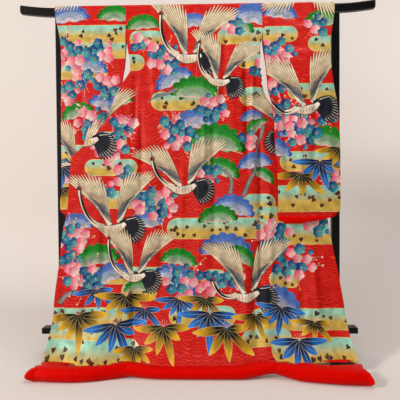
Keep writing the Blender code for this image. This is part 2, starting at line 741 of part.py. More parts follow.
def loft(name, stations, finish):
    """A closed body through rings of equal count, its ends closed by fans."""
    count, sides = stations.shape[:2]
    points = list(stations.reshape(-1, 3)) + [stations[0].mean(axis=0), stations[-1].mean(axis=0)]
    faces = []
    for station in range(count - 1):
        for step in range(sides):
            a, b = station * sides + step, station * sides + (step + 1) % sides
            c, d = b + sides, a + sides
            faces += [(a, b, c), (a, c, d)]
    last = (count - 1) * sides
    for step in range(sides):
        after = (step + 1) % sides
        faces.append((count * sides, after, step))
        faces.append((count * sides + 1, last + step, last + after))
    return make_object(name, points, faces, finish)


def hem_ring(seam, down, normal, size=1.0, out=0.0, forward=0.0):
    """One ring of the padded hem: the lip under the seam, then round the padding's section."""
    x = seam[0]
    depth, height = read(HEM, "half_depth", x), read(HEM, "half_height", x)
    lift = read(HEM, "lift", x)
    centre = np.array([x, read(HEM, "middle", x), lift + height])
    start = seam + down * 1.5 * SEAM_GAP
    ring = [start + normal * LIP_WALL / 2]
    for angle in RING_ANGLES:
        turn = math.radians(angle)
        z = lift if angle in FLAT_ANGLES else centre[2] + height * math.cos(turn)
        ring.append(np.array([x, centre[1] - depth * math.sin(turn), z]))
    ring.append(start - normal * LIP_WALL / 2)
    moved = np.array([out, -forward, 0.0])
    return centre + (np.array(ring) - centre) * size + moved


def padded_hem(hem_rows):
    """The thick plain hem, from one front corner round the back to the other."""
    halves = []
    for side in (LEFT, RIGHT):
        row = []
        for grid_row, next_row, normals in hem_rows[side]:
            for point, above, normal in zip(grid_row, next_row, normals):
                down = (point - above) / np.linalg.norm(point - above)
                row.append((point, down, normal))
        halves.append(row)
    ordered = halves[0][::-1] + halves[1]
    rings = [hem_ring(*ordered[0])]
    for before, after in zip(ordered, ordered[1:]):
        if after[0][0] - before[0][0] > 0.001:
            rings.append(hem_ring(*after))
    for step in HEM_TIPS["step"]:
        size = read(HEM_TIPS, "size", step)
        out, forward = read(HEM_TIPS, "out_left", step), read(HEM_TIPS, "forward_left", step)
        rings.insert(0, hem_ring(*ordered[0], size, -out, forward))
        out, forward = read(HEM_TIPS, "out_right", step), read(HEM_TIPS, "forward_right", step)
        rings.append(hem_ring(*ordered[-1], size, out, forward))
    loft("padded_hem", np.array(rings), "lining")


def bevelled_block(name, size, centre, round_edges, finish):
    """A block with rounded edges, by its size and centre."""
    bpy.ops.mesh.primitive_cube_add(size=1.0, location=centre)
    made = bpy.context.active_object
    made.name = name
    made.data.name = name
    made.scale = size
    bpy.ops.object.transform_apply(location=False, rotation=False, scale=True)
    edge = made.modifiers.new("Edges", "BEVEL")
    edge.width = round_edges
    edge.segments = 2
    made.data.materials.append(material(finish))
    return made


def top_rail():
    """The rail that carries the garment, its ends curving gently upwards."""
    half = RAIL_LENGTH / 2
    straight = half - RAIL_END_RUN
    places = [-half, -half + RAIL_TUCK, -half + 0.04, -half + 0.08, -half + 0.12, -straight]
    places += [-place for place in places[::-1]]
    chamfer = RAIL_ROUND * (1 - math.sqrt(0.5))
    deep, high = RAIL_DEPTH / 2, RAIL_HEIGHT / 2
    outline = []
    for sign_y, sign_z in ((-1, 1), (-1, -1), (1, -1), (1, 1)):
        corner = [
            (deep - RAIL_ROUND, high),
            (deep - chamfer, high - chamfer),
            (deep, high - RAIL_ROUND),
        ]
        if sign_y * sign_z > 0:
            corner.reverse()
        outline += [(sign_y * y, sign_z * z) for y, z in corner]
    rings = []
    for x in places:
        along = max(0.0, (abs(x) - straight) / RAIL_END_RUN)
        middle = RAIL_TOP - high + RAIL_END_RISE * along**1.6
        tuck = RAIL_TUCK if abs(x) == half else 0.0
        rings.append([(x, y * (1 - tuck / deep), middle + z * (1 - tuck / high)) for y, z in outline])
    loft("top_rail", np.array(rings), "lacquer")


def foot(name, side):
    """A foot that runs from front to back, highest in the middle under the lower rail."""
    half = FOOT_LENGTH / 2
    top = STRETCHER_TOP - STRETCHER_HEIGHT - JOINT_GAP
    curve = [(half, 0.014), (half - 0.006, 0.020), (0.165, 0.037), (0.120, 0.060)]
    curve += [(0.082, 0.087), (0.054, 0.108), (0.034, top)]
    outline = [(-half, 0.0), (half, 0.0), *curve]
    outline += [(-y, z) for y, z in curve[::-1]]
    centre = side * (POST_OUTER_SPACING - POST_WIDTH) / 2
    ease = 0.004
    rings = []
    for across in (-FOOT_WIDTH / 2, -FOOT_WIDTH / 2 + ease, FOOT_WIDTH / 2 - ease, FOOT_WIDTH / 2):
        outer = abs(across) == FOOT_WIDTH / 2
        ring = []
        for y, z in outline:
            inset = ease if outer else 0.0
            lowered = z - inset if z > ease * 2 else z
            shorter = y - math.copysign(inset, y) if abs(y) > half - 0.001 else y
            ring.append((centre + across, shorter, lowered))
        rings.append(ring)
    loft(name, np.array(rings), "lacquer")


def rack():
    """Two feet, the lower rail that lies on them, two posts on it, and the top rail on the posts."""
    top_rail()
    low = STRETCHER_TOP + JOINT_GAP
    high = RAIL_TOP - RAIL_HEIGHT - JOINT_GAP
    place = (POST_OUTER_SPACING - POST_WIDTH) / 2
    for side, word in ((LEFT, "left"), (RIGHT, "right")):
        size = (POST_WIDTH, POST_DEPTH, high - low)
        bevelled_block(f"post_{word}", size, (side * place, 0.0, (low + high) / 2), POST_ROUND, "lacquer")
        foot(f"foot_{word}", side)
    size = (STRETCHER_LENGTH, STRETCHER_DEPTH, STRETCHER_HEIGHT)
    centre = (0.0, 0.0, STRETCHER_TOP - STRETCHER_HEIGHT / 2)
    bevelled_block("lower_rail", size, centre, POST_ROUND, "lacquer")


def stand_on_origin():
    """Move the whole model so that the origin is the middle of its footprint, at floor level."""
    bpy.context.view_layer.update()
    corners = []
    for made in bpy.context.scene.objects:
        corners += [made.matrix_world @ Vector(corner) for corner in made.bound_box]
    low, high = np.min(corners, axis=0), np.max(corners, axis=0)
    for made in bpy.context.scene.objects:
        made.location.x -= (low[0] + high[0]) / 2
        made.location.y -= (low[1] + high[1]) / 2
        made.location.z -= low[2]
    bpy.context.view_layer.update()


def main():
    for old in list(bpy.data.objects):
        bpy.data.objects.remove(old, do_unlink=True)
    rack()
    hem_rows = body()
    for side, word in ((LEFT, "left"), (RIGHT, "right")):
        sleeve(side, word)
    padded_hem(hem_rows)
    stand_on_origin()


main()
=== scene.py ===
import math

import bpy
import numpy as np
from mathutils import Matrix, Vector
from mathutils.geometry import delaunay_2d_cdt


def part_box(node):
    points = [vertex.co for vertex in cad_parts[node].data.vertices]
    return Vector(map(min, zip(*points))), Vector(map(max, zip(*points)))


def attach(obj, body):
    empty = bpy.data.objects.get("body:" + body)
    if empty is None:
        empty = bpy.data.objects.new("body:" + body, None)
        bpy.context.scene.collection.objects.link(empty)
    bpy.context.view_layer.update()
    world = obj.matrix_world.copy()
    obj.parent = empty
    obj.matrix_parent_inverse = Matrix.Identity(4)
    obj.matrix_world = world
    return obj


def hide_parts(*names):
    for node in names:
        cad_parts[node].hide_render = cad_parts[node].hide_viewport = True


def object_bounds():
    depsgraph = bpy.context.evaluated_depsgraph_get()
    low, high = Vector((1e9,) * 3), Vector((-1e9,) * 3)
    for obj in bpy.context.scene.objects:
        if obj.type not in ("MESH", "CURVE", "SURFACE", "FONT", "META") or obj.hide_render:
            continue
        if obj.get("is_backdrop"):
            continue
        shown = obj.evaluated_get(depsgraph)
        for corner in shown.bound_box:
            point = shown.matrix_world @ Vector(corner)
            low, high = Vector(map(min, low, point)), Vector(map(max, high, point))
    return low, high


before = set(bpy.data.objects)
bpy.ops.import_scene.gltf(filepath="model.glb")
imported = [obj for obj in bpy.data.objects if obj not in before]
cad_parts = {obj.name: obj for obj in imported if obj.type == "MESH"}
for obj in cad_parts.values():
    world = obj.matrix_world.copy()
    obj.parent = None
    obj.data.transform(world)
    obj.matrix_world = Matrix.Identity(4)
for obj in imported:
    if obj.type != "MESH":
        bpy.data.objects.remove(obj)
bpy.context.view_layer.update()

# The shape of the body cloth
# The garment hangs in the rack's own frame: the rack's middle plane is y 0 and the floor z 0.
# Each table gives, by height, where the cloth hangs or how wide it is.
BACK_OF_RACK = float((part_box("post_left")[0][1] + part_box("post_left")[1][1]) / 2)
LEFT, RIGHT = -1, 1
RIDGE_FLAT, RIDGE_ROUND, CLOTH_TOP = 0.0115, 0.010, 1.6848
HANG_TOP = CLOTH_TOP - RIDGE_ROUND
RIDGE = HANG_TOP + RIDGE_ROUND * math.pi / 2 + RIDGE_FLAT
HEM_LEVEL, HEM_REACH, FOLD_START, SEAM_TOP, TIP_HEIGHT = 0.062, 0.300, 0.955, 1.373, 1.420
COLLAR_START, COLLAR_WIDTH, TURN, SEAM = 0.672, 0.055, 0.020, 0.00015


def table(columns, *rows):
    numbers = np.array(rows, float)
    return {name: numbers[:, place] for place, name in enumerate(columns.split())}


def read(source, column, at):
    """Smooth value between a table's rows, with no overshoot."""
    keys, values = source[next(iter(source))], source[column]
    at = np.clip(at, keys[0], keys[-1])
    place = np.clip(np.searchsorted(keys, at) - 1, 0, len(keys) - 2)
    slopes = np.diff(values) / np.diff(keys)
    product = slopes[:-1] * slopes[1:]
    total = slopes[:-1] + slopes[1:]
    inner = np.where(product <= 0, 0.0, 2 * product / np.where(total == 0, 1.0, total))
    tangent = np.concatenate([slopes[:1], inner, slopes[-1:]])
    run = keys[place + 1] - keys[place]
    part = (at - keys[place]) / run
    return (
        values[place] * (1 + 2 * part) * (1 - part) ** 2
        + values[place + 1] * part**2 * (3 - 2 * part)
        + tangent[place] * run * part * (1 - part) ** 2
        - tangent[place + 1] * run * part**2 * (1 - part)
    )


DRAPE = table(
    "height back hidden",
    (0.05, -0.205, -0.15), (0.075, -0.185, -0.15), (0.1, -0.16, -0.14), (0.14, -0.14, -0.125),
    (0.2, -0.123, -0.11), (0.28, -0.109, -0.098), (0.38, -0.098, -0.088), (0.5, -0.089, -0.079),
    (0.65, -0.081, -0.071), (0.8, -0.075, -0.065), (0.95, -0.069, -0.059), (1.1, -0.063, -0.052),
    (1.25, -0.057, -0.045), (1.373, -0.05, -0.037), (1.42, -0.047, -0.029), (1.49, -0.041, -0.01),
    (1.56, -0.0345, 0.008), (1.601, -0.029, 0.017), (1.64, -0.0235, 0.0215), (1.674, -0.0215, 0.0215),
)
HALF = {
    LEFT: table(
        "height side front_width edge",
        (0.05, 0.289, 0.246, 0.686), (0.09, 0.288, 0.246, 0.688), (0.125, 0.278, 0.251, 0.684),
        (0.21, 0.264, 0.257, 0.667), (0.31, 0.26, 0.25, 0.662), (0.47, 0.259, 0.227, 0.643),
        (0.627, 0.258, 0.208, 0.625), (0.705, 0.258, 0.199, 0.606), (0.85, 0.257, 0.178, 0.595),
        (0.955, 0.26, 0.159, 0.585), (0.993, 0.261, 0.157, 0.546), (1.066, 0.264, 0.154, 0.478),
        (1.14, 0.27, 0.148, 0.413), (1.242, 0.285, 0.175, 0.376), (1.3, 0.294, 0.195, 0.346),
        (1.373, 0.307, 0.212, 0.307), (1.42, 0.314, 0.222, 0.314), (1.49, 0.325, 0.235, 0.325),
        (1.56, 0.333, 0.243, 0.333), (1.684, 0.333, 0.243, 0.333),
    ),
    RIGHT: table(
        "height side front_width edge",
        (0.05, 0.271, 0.28, 0.699), (0.09, 0.271, 0.275, 0.696), (0.13, 0.264, 0.274, 0.688),
        (0.2, 0.25, 0.276, 0.676), (0.3, 0.244, 0.27, 0.665), (0.408, 0.245, 0.253, 0.648),
        (0.563, 0.247, 0.228, 0.619), (0.655, 0.248, 0.213, 0.603), (0.85, 0.248, 0.183, 0.588),
        (0.955, 0.249, 0.17, 0.585), (0.993, 0.25, 0.167, 0.546), (1.066, 0.251, 0.162, 0.478),
        (1.135, 0.258, 0.158, 0.413), (1.17, 0.267, 0.16, 0.372), (1.205, 0.277, 0.166, 0.338),
        (1.235, 0.287, 0.172, 0.319), (1.26, 0.291, 0.177, 0.307), (1.29, 0.292, 0.183, 0.301),
        (1.33, 0.294, 0.191, 0.298), (1.373, 0.295, 0.2, 0.295), (1.42, 0.296, 0.202, 0.296),
        (1.49, 0.302, 0.21, 0.302), (1.56, 0.308, 0.218, 0.308), (1.684, 0.308, 0.218, 0.308),
    ),
}
GUSSET = table(
    "height width",
    (0.955, 0.111), (1.07, 0.1), (1.14, 0.088), (1.25, 0.056), (1.373, 0.02), (1.42, 0.003), (1.49, 0.0),
)
HEM = table(
    "x middle half_depth half_height lift seam_y seam_z",
    (-0.7, -0.268, 0.04, 0.025, 0.0, -0.202, 0.056), (-0.63, -0.273, 0.045, 0.027, 0.0, -0.19, 0.058),
    (-0.55, -0.275, 0.045, 0.026, 0.0, -0.208, 0.0545), (-0.47, -0.27, 0.042, 0.025, 0.0, -0.228, 0.0525),
    (-0.38, -0.252, 0.036, 0.025, 0.002, -0.21, 0.0545),
    (-0.295, -0.24, 0.031, 0.0235, 0.008, -0.2, 0.0575), (-0.16, -0.248, 0.031, 0.024, 0.0, -0.232, 0.051),
    (0.0, -0.25, 0.031, 0.024, 0.0, -0.238, 0.051), (0.18, -0.25, 0.031, 0.025, 0.0, -0.228, 0.053),
    (0.25, -0.243, 0.031, 0.024, 0.008, -0.203, 0.059), (0.317, -0.237, 0.031, 0.022, 0.02, -0.193, 0.0665),
    (0.37, -0.243, 0.033, 0.024, 0.012, -0.19, 0.0625), (0.44, -0.265, 0.038, 0.027, 0.0, -0.198, 0.0575),
    (0.54, -0.285, 0.044, 0.029, 0.0, -0.198, 0.06), (0.65, -0.298, 0.048, 0.029, 0.0, -0.183, 0.061),
    (0.71, -0.3, 0.048, 0.028, 0.0, -0.203, 0.058),
)
# Broad folds: place, half width, push away from the viewer, and the heights between which they run.
BODY_FOLDS = (
    (-0.59, 0.03, -0.006, 0.02, 0.45), (-0.48, 0.032, 0.006, 0.02, 0.5), (-0.345, 0.022, 0.003, 0.1, 1.2),
    (-0.292, 0.02, 0.009, 0.02, 0.4), (-0.262, 0.016, 0.004, 0.3, 1.3), (-0.215, 0.024, -0.004, 0.1, 1.35),
    (-0.07, 0.03, 0.004, 0.2, 1.45), (0.0, 0.022, -0.002, 0.1, 1.5), (0.075, 0.026, 0.005, 0.1, 1.3),
    (0.165, 0.026, -0.003, 0.1, 1.45), (0.218, 0.018, -0.008, 0.02, 0.8), (0.262, 0.018, 0.014, 0.02, 0.6),
    (0.232, 0.013, 0.004, 0.8, 1.5), (0.31, 0.024, -0.01, 0.02, 0.5), (0.41, 0.032, 0.006, 0.02, 0.55),
    (0.505, 0.03, -0.005, 0.02, 0.45), (0.61, 0.032, 0.005, 0.02, 0.4),
)


def fade(value, low, high):
    part = np.clip((value - low) / (high - low), 0.0, 1.0)
    return part * part * (3 - 2 * part)


def folds(rows, x, height):
    total = 0.0
    for place, half, push, low, high in rows:
        span = high - low
        window = fade(height, low, low + 0.3 * span) * (1 - fade(height, high - 0.4 * span, high))
        total = total + push * np.exp(-(((x - place) / half) ** 2)) * window
    return total


# Creases: both ends of each line as x and height, half width, and push away from the viewer.
CREASES = (
    (-0.285, 1.37, -0.292, 1.04, 0.012, 0.0032), (-0.345, 1.22, -0.3, 1.02, 0.013, 0.0026),
    (-0.262, 1.3, -0.26, 0.7, 0.009, 0.0022), (-0.305, 0.6, -0.3, 0.08, 0.012, 0.004),
    (-0.215, 1.6, -0.19, 1.15, 0.014, -0.0024), (-0.125, 1.62, -0.15, 1.3, 0.015, 0.0022),
    (-0.058, 1.66, -0.052, 1.25, 0.012, 0.0022), (-0.06, 1.05, -0.085, 0.4, 0.012, -0.002),
    (-0.16, 0.95, -0.175, 0.25, 0.014, 0.0026), (0.03, 1.45, 0.035, 0.75, 0.011, -0.0022),
    (0.074, 1.3, 0.08, 0.45, 0.012, 0.0028), (0.14, 1.62, 0.115, 1.1, 0.013, 0.0024),
    (0.225, 1.55, 0.235, 0.8, 0.011, 0.0036), (0.262, 1.5, 0.255, 0.95, 0.01, -0.0026),
    (0.292, 1.25, 0.29, 0.1, 0.011, 0.004), (0.33, 0.95, 0.345, 0.2, 0.013, -0.0028),
    (0.4, 0.7, 0.43, 0.12, 0.015, 0.0034), (0.52, 0.62, 0.56, 0.1, 0.017, -0.0032),
    (0.47, 0.5, 0.49, 0.14, 0.012, 0.0024), (-0.42, 0.95, -0.45, 0.15, 0.015, 0.0034),
    (-0.52, 0.7, -0.56, 0.12, 0.017, -0.003), (-0.61, 0.5, -0.64, 0.1, 0.013, 0.0026),
    (-0.31, 1.34, -0.2, 1.27, 0.013, 0.0024), (0.3, 1.37, 0.2, 1.31, 0.013, 0.0022),
    (-0.12, 0.115, -0.02, 0.08, 0.01, 0.0024), (0.02, 0.135, 0.12, 0.085, 0.01, -0.0022),
    (0.4, 1.62, 0.385, 1.2, 0.013, 0.0022), (-0.41, 1.6, -0.4, 1.15, 0.013, -0.0022),
)


CREASE_STRENGTH, CREASE_VARIES, CREASE_CUT = 3.0, 0.9, 0.014
LEANS = {LEFT: -0.006, RIGHT: 0.012}


def creases(rows, x, height):
    """Soft, uneven troughs and ridges along the lines given."""
    total = 0.0
    for x0, z0, x1, z1, half, push in rows:
        run = np.array([x1 - x0, z1 - z0])
        along = ((x - x0) * run[0] + (height - z0) * run[1]) / (run @ run)
        off = ((x - x0) * run[1] - (height - z0) * run[0]) / math.sqrt(run @ run)
        uneven = CREASE_STRENGTH + CREASE_VARIES * np.sin(11 * along + 40 * x0)
        push = push * uneven * np.exp(-((off / half) ** 2))
        total = total + push * fade(along, 0, 0.3) * (1 - fade(along, 0.7, 1))
    return total


def crease_points(rows):
    """Places where a panel is cut finer, so that its creases stay smooth."""
    made = []
    for x0, z0, x1, z1, half, _ in rows:
        run = np.array([x1 - x0, z1 - z0])
        length = math.sqrt(run @ run)
        across = np.array([run[1], -run[0]]) / length * half
        for part in np.linspace(0.02, 0.98, int(length / CREASE_CUT)):
            made += [(x0, z0) + part * run + step * across for step in (-1.6, -0.8, 0, 0.8, 1.6)]
    return np.array(made)


def body_point(side, x, height, layer):
    """Points of the body cloth: x is the distance from the centre back."""
    x = side * x
    shift = LEANS[side] * fade(np.abs(x), 0.24, 0.34)
    shift = shift * (1 - fade(height, 1.20, SEAM_TOP))
    y = read(DRAPE, layer, height) + folds(BODY_FOLDS, x, height) + shift + creases(CREASES, x, height)
    at_hem = read(DRAPE, "back", HEM_LEVEL) + folds(BODY_FOLDS, x, HEM_LEVEL) + shift
    y = y + (1 - fade(height, HEM_LEVEL, HEM_REACH)) * (read(HEM, "seam_y", x) - at_hem)
    low = 1 - fade(height, HEM_LEVEL, 0.5 * HEM_REACH)
    return np.stack([x + 0 * y, y, height + low * (read(HEM, "seam_z", x) - HEM_LEVEL)], axis=-1)


def over_rail(points, x, height, sign):
    """Bends what lies above the hanging part over the rail's top."""
    path = height - HANG_TOP
    angle = np.clip(path / RIDGE_ROUND, 0, math.pi / 2)
    flat = np.clip(path - RIDGE_ROUND * math.pi / 2, 0, RIDGE_FLAT - SEAM)
    bent = np.stack(
        [
            x,
            sign * (RIDGE_FLAT + RIDGE_ROUND * np.cos(angle) - flat),
            HANG_TOP + RIDGE_ROUND * np.sin(angle),
        ],
        axis=-1,
    )
    return np.where((path > 0)[:, None], bent, points)


def gusset_width(side, height):
    half = HALF[side]
    low = read(half, "edge", height) - read(half, "side", height) - read(half, "front_width", height)
    return np.where(height > FOLD_START, read(GUSSET, "width", height), low - COLLAR_WIDTH)


def span(side, piece, height):
    """Where a front piece starts, and its width, as if it were not folded over."""
    half = HALF[side]
    start, width = read(half, "side", height), read(half, "front_width", height)
    if piece == "front":
        return start, width
    start = start + width
    width = gusset_width(side, height)
    if piece == "gusset":
        return start, np.where(height < COLLAR_START - 0.002, width + COLLAR_WIDTH, width)
    return start + width, COLLAR_WIDTH + 0 * width


# CREST holds the height at which each thread of a front piece turns over. Behind the fold the
# threads move inwards as they rise, first quickly and then slowly.
THREADS, NEXT_THREAD = np.linspace(0, 1, 61), 0.02
EASE, NEAR_EASE, EASE_REACH = 1.8, 2.2, 0.050
CREST = {}
for side in (LEFT, RIGHT):
    for piece in ("front", "gusset", "collar"):
        low, high = np.full(len(THREADS), FOLD_START), np.full(len(THREADS), SEAM_TOP)
        for _ in range(40):
            middle = (low + high) / 2
            start, width = span(side, piece, middle)
            inside = start + THREADS * width < read(HALF[side], "edge", middle)
            low, high = np.where(inside, middle, low), np.where(inside, high, middle)
        CREST[side, piece] = (low + high) / 2


def back_panel(side, x, height):
    return over_rail(body_point(side, x, height, "back"), side * x, height, -1)


def front_panel(side, piece, x, height):
    """Points of a front piece: hanging, turned over its slanting edge, then behind the back."""
    start, width = span(side, piece, height)
    thread = np.clip((x - start) / np.maximum(width, 1e-6), 0, 1)
    top = np.interp(thread, THREADS, CREST[side, piece])
    seen = body_point(side, x, height, "back")
    start, width = span(side, piece, top)
    crest = start + thread * width
    before, after = thread - NEXT_THREAD, thread + NEXT_THREAD
    top_before, top_after = (np.interp(at, THREADS, CREST[side, piece]) for at in (before, after))
    slope = top_after - top_before
    start_a, width_a = span(side, piece, top_before)
    start_b, width_b = span(side, piece, top_after)
    run = start_b + np.clip(after, 0, 1) * width_b - start_a - np.clip(before, 0, 1) * width_a
    size = np.hypot(run, slope) + 1e-9
    near, far = body_point(side, crest, top, "back"), body_point(side, crest, top, "hidden")
    radius = (far[:, 1] - near[:, 1]) / 2
    angle = np.clip((height - top) / TURN, 0, 1) * math.pi
    turned = np.stack(
        [
            side * (crest - radius * np.sin(angle) * slope / size),
            near[:, 1] + radius * (1 - np.cos(angle)),
            near[:, 2] + radius * np.sin(angle) * run / size,
        ],
        axis=-1,
    )
    part = np.clip((height - top - TURN) / (TIP_HEIGHT - top - TURN), 0, 1)
    power = EASE + NEAR_EASE * np.exp(-(crest - read(HALF[side], "side", top)) / EASE_REACH)
    start, width = span(side, piece, np.full_like(height, TIP_HEIGHT))
    goal = 2 * read(HALF[side], "edge", TIP_HEIGHT) - start - thread * width
    rise = top + (TIP_HEIGHT - top) * part
    behind = body_point(side, crest + (goal - crest) * (1 - (1 - part) ** power), rise, "hidden")
    start, width = span(side, piece, height)
    upper_x = 2 * read(HALF[side], "edge", height) - start - thread * width
    upper = over_rail(body_point(side, upper_x, height, "hidden"), side * upper_x, height, 1)
    made = np.where((height > top)[:, None], turned, seen)
    made = np.where((height > top + TURN)[:, None], behind, made)
    return np.where((height > TIP_HEIGHT)[:, None], upper, made)


def inside(points, ring):
    """Which points lie inside a ring, by its winding."""
    x, z = points[:, :1], points[:, 1:]
    after = np.roll(ring, -1, axis=0)
    cross = (after[:, 0] - ring[:, 0]) * (z - ring[:, 1]) - (x - ring[:, 0]) * (after[:, 1] - ring[:, 1])
    up = (ring[:, 1] <= z) & (after[:, 1] > z) & (cross > 0)
    down = (ring[:, 1] > z) & (after[:, 1] <= z) & (cross < 0)
    return up.sum(axis=1) != down.sum(axis=1)


def triangulate(points, edges):
    found = delaunay_2d_cdt([Vector(point) for point in points], edges, [], 0, 1e-6, False)
    return np.array([tuple(point) for point in found[0]]), np.array([tuple(face) for face in found[2]])


def topmost(flat, faces, outline, shapes, chosen):
    """The triangles inside the outline, and each one's top motif, -1 for the bare ground."""
    middles = flat[faces].mean(axis=1)
    kept = inside(middles, outline)
    faces, middles = faces[kept], middles[kept]
    order = np.argsort(middles[:, 1])
    faces, middles = faces[order], middles[order]
    tops = np.full(len(faces), -1)
    for number in chosen:
        ring = shapes[number]["ring"]
        first, last = np.searchsorted(middles[:, 1], (ring[:, 1].min(), ring[:, 1].max()))
        near = middles[first:last]
        rows = first + np.flatnonzero((near[:, 0] > ring[:, 0].min()) & (near[:, 0] < ring[:, 0].max()))
        if len(rows):
            tops[rows[inside(middles[rows], ring)]] = number
    return faces, tops


STRAIGHT, LONGEST_EDGE = 2e-8, 0.014


def seen_lines(flat, faces, looks):
    """The edges between unlike looks, with straight runs joined and long ones split evenly."""
    pairs = np.sort(np.concatenate([faces[:, [0, 1]], faces[:, [1, 2]], faces[:, [2, 0]]]), axis=1)
    pairs, where, counts = np.unique(pairs, axis=0, return_inverse=True, return_counts=True)
    where, looks = where.ravel(), np.tile(looks, 3)
    least, most = np.full(len(pairs), looks.max() + 1), np.full(len(pairs), -2)
    np.minimum.at(least, where, looks)
    np.maximum.at(most, where, looks)
    on_outline = set(pairs[counts == 1].ravel().tolist())
    links = {}
    for one, two in pairs[(counts == 1) | (least != most)].tolist():
        links.setdefault(one, set()).add(two)
        links.setdefault(two, set()).add(one)
    for point in list(links):
        if len(links[point]) == 2 and point not in on_outline:
            one, two = links[point]
            first, second = flat[one] - flat[point], flat[two] - flat[point]
            straight = abs(first[0] * second[1] - first[1] * second[0]) < STRAIGHT
            if straight and first @ second < 0 and two not in links[one]:
                links[one] = links[one] - {point} | {two}
                links[two] = links[two] - {point} | {one}
                links[point] = set()
    points, edges, places = [], [], {}
    for one in links:
        for two in links[one]:
            if one < two:
                parts = max(1, math.ceil(math.dist(flat[one], flat[two]) / LONGEST_EDGE))
                run = []
                for end in (one, two):
                    if end not in places:
                        places[end] = len(points)
                        points.append(tuple(flat[end]))
                    run.append(places[end])
                for step in range(1, parts):
                    run.insert(-1, len(points))
                    points.append(tuple(flat[one] + (flat[two] - flat[one]) * step / parts))
                edges += list(zip(run[:-1], run[1:]))
    return points, edges


def cut_panel(outline, shapes, pitch, extra):
    """Triangles of a flat panel, cut along every motif's seen outline: points, triangles, top motif."""
    outline = np.array(outline)
    low, high = outline.min(axis=0), outline.max(axis=0)
    chosen = [
        number
        for number, shape in enumerate(shapes)
        if (shape["ring"].max(axis=0) > low).all() and (shape["ring"].min(axis=0) < high).all()
    ]
    points, edges = [], []
    for ring in [outline] + [shapes[number]["ring"] for number in chosen]:
        start, count = len(points), len(ring)
        points += [tuple(point) for point in ring]
        edges += [(start + step, start + (step + 1) % count) for step in range(count)]
    flat, faces = triangulate(points, edges)
    faces, tops = topmost(flat, faces, outline, shapes, chosen)
    known, looks = {}, np.full(len(shapes) + 1, -1)
    for number in chosen:
        first, second = shapes[number]["colours"]
        key = (first, shapes[number]["metal"]) if first == second else number
        looks[number] = known.setdefault(key, len(known))
    points, edges = seen_lines(flat, faces, looks[tops])
    grid_x = np.arange(low[0] + pitch / 2, high[0], pitch)
    for count, z in enumerate(np.arange(low[1] + pitch / 2, high[1], pitch)):
        shift = pitch / 2 * (count % 2)
        points += [(x + shift, z) for x in grid_x]
    points += [tuple(point) for point in extra if (low < point).all() and (point < high).all()]
    flat, faces = triangulate(points, edges)
    faces, tops = topmost(flat, faces, outline, shapes, chosen)
    used, faces = np.unique(faces, return_inverse=True)
    return flat[used], faces.reshape(-1, 3), tops


def turned_out(placed, faces, chosen, outward):
    """The faces, turned so that the chosen ones look the way given."""
    corners = placed[faces[chosen]]
    facing = np.cross(corners[:, 1] - corners[:, 0], corners[:, 2] - corners[:, 0]).sum(axis=0)
    return faces if facing @ np.array(outward) > 0 else faces[:, ::-1]


def new_object(name, data):
    made = bpy.data.objects.new(name, data)
    bpy.context.collection.objects.link(made)
    return made


def select_only(made):
    bpy.ops.object.select_all(action="DESELECT")
    bpy.context.view_layer.objects.active = made
    made.select_set(True)


def cloth(name, flat, faces, tops, placed, shapes, thick=0.0020):
    """A sheet with its print as corner colours, its flat pattern as a UV map, and real thickness."""
    mesh = bpy.data.meshes.new(name)
    _, first_of, merged = np.unique(np.round(placed, 6), axis=0, return_index=True, return_inverse=True)
    joined = merged.ravel()[faces]
    whole = (joined[:, 0] != joined[:, 1]) & (joined[:, 1] != joined[:, 2]) & (joined[:, 2] != joined[:, 0])
    faces, tops, joined = faces[whole], tops[whole], joined[whole]
    placed = placed[first_of] + np.array([0, BACK_OF_RACK, 0])
    mesh.from_pydata([tuple(point) for point in placed], [], [tuple(int(i) for i in face) for face in joined])
    uv = mesh.uv_layers.new(name="cloth")
    uv.data.foreach_set("uv", flat[faces].ravel())
    colours = np.ones((len(faces), 3, 4))
    colours[..., :3] = GROUND
    metal = np.zeros((len(faces), 3))
    ground = np.zeros((len(faces), 3))
    ground[tops < 0] = 1
    for number in np.unique(tops[tops >= 0]):
        shape, rows = shapes[number], np.flatnonzero(tops == number)
        part = ((flat[faces[rows]] - shape["from"]) @ shape["along"])[..., None]
        first, second = np.array(shape["colours"][0]), np.array(shape["colours"][1])
        colours[rows, :, :3] = first + (second - first) * np.clip(part, 0, 1)
        metal[rows] = shape["metal"]
    layer = mesh.color_attributes.new("print", "FLOAT_COLOR", "CORNER")
    layer.data.foreach_set("color", colours.ravel())
    for label, values in (("metal", metal), ("ground", ground)):
        mesh.attributes.new(label, "FLOAT", "CORNER").data.foreach_set("value", values.ravel())
    mesh.materials.append(silk)
    mesh.materials.append(lining)
    made = new_object(name, mesh)
    select_only(made)
    wall = made.modifiers.new("Thickness", "SOLIDIFY")
    wall.thickness, wall.offset = thick, 0.0
    wall.material_offset = wall.material_offset_rim = 1
    bpy.ops.object.modifier_apply(modifier="Thickness")
    bpy.ops.object.shade_smooth_by_angle(angle=math.radians(50))
    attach(made, "root")
    return made


# Silk, lining and lacquer
# Colours are sRGB hex made linear once. The silk reads its print from the sheets' corner colours.
def colour(code):
    parts = [int(code[place : place + 2], 16) / 255 for place in (0, 2, 4)]
    return tuple(c / 12.92 if c <= 0.04045 else ((c + 0.055) / 1.055) ** 2.4 for c in parts)


def rgba(code):
    return (*colour(code), 1)


def add_node(tree, kind, settings=(), links=()):
    """A shader node with its settings, and links from sockets into its inputs."""
    node = tree.nodes.new(kind)
    for key, value in dict(settings).items():
        if isinstance(key, str) and hasattr(node, key):
            setattr(node, key, value)
        else:
            node.inputs[key].default_value = value
    for key, socket in dict(links).items():
        tree.links.new(socket, node.inputs[key])
    return node


def new_finish(name, settings):
    made = bpy.data.materials.new(name)
    made.use_nodes = True
    shader = made.node_tree.nodes["Principled BSDF"]
    for key, value in settings.items():
        shader.inputs[key].default_value = value
    return made, made.node_tree, shader


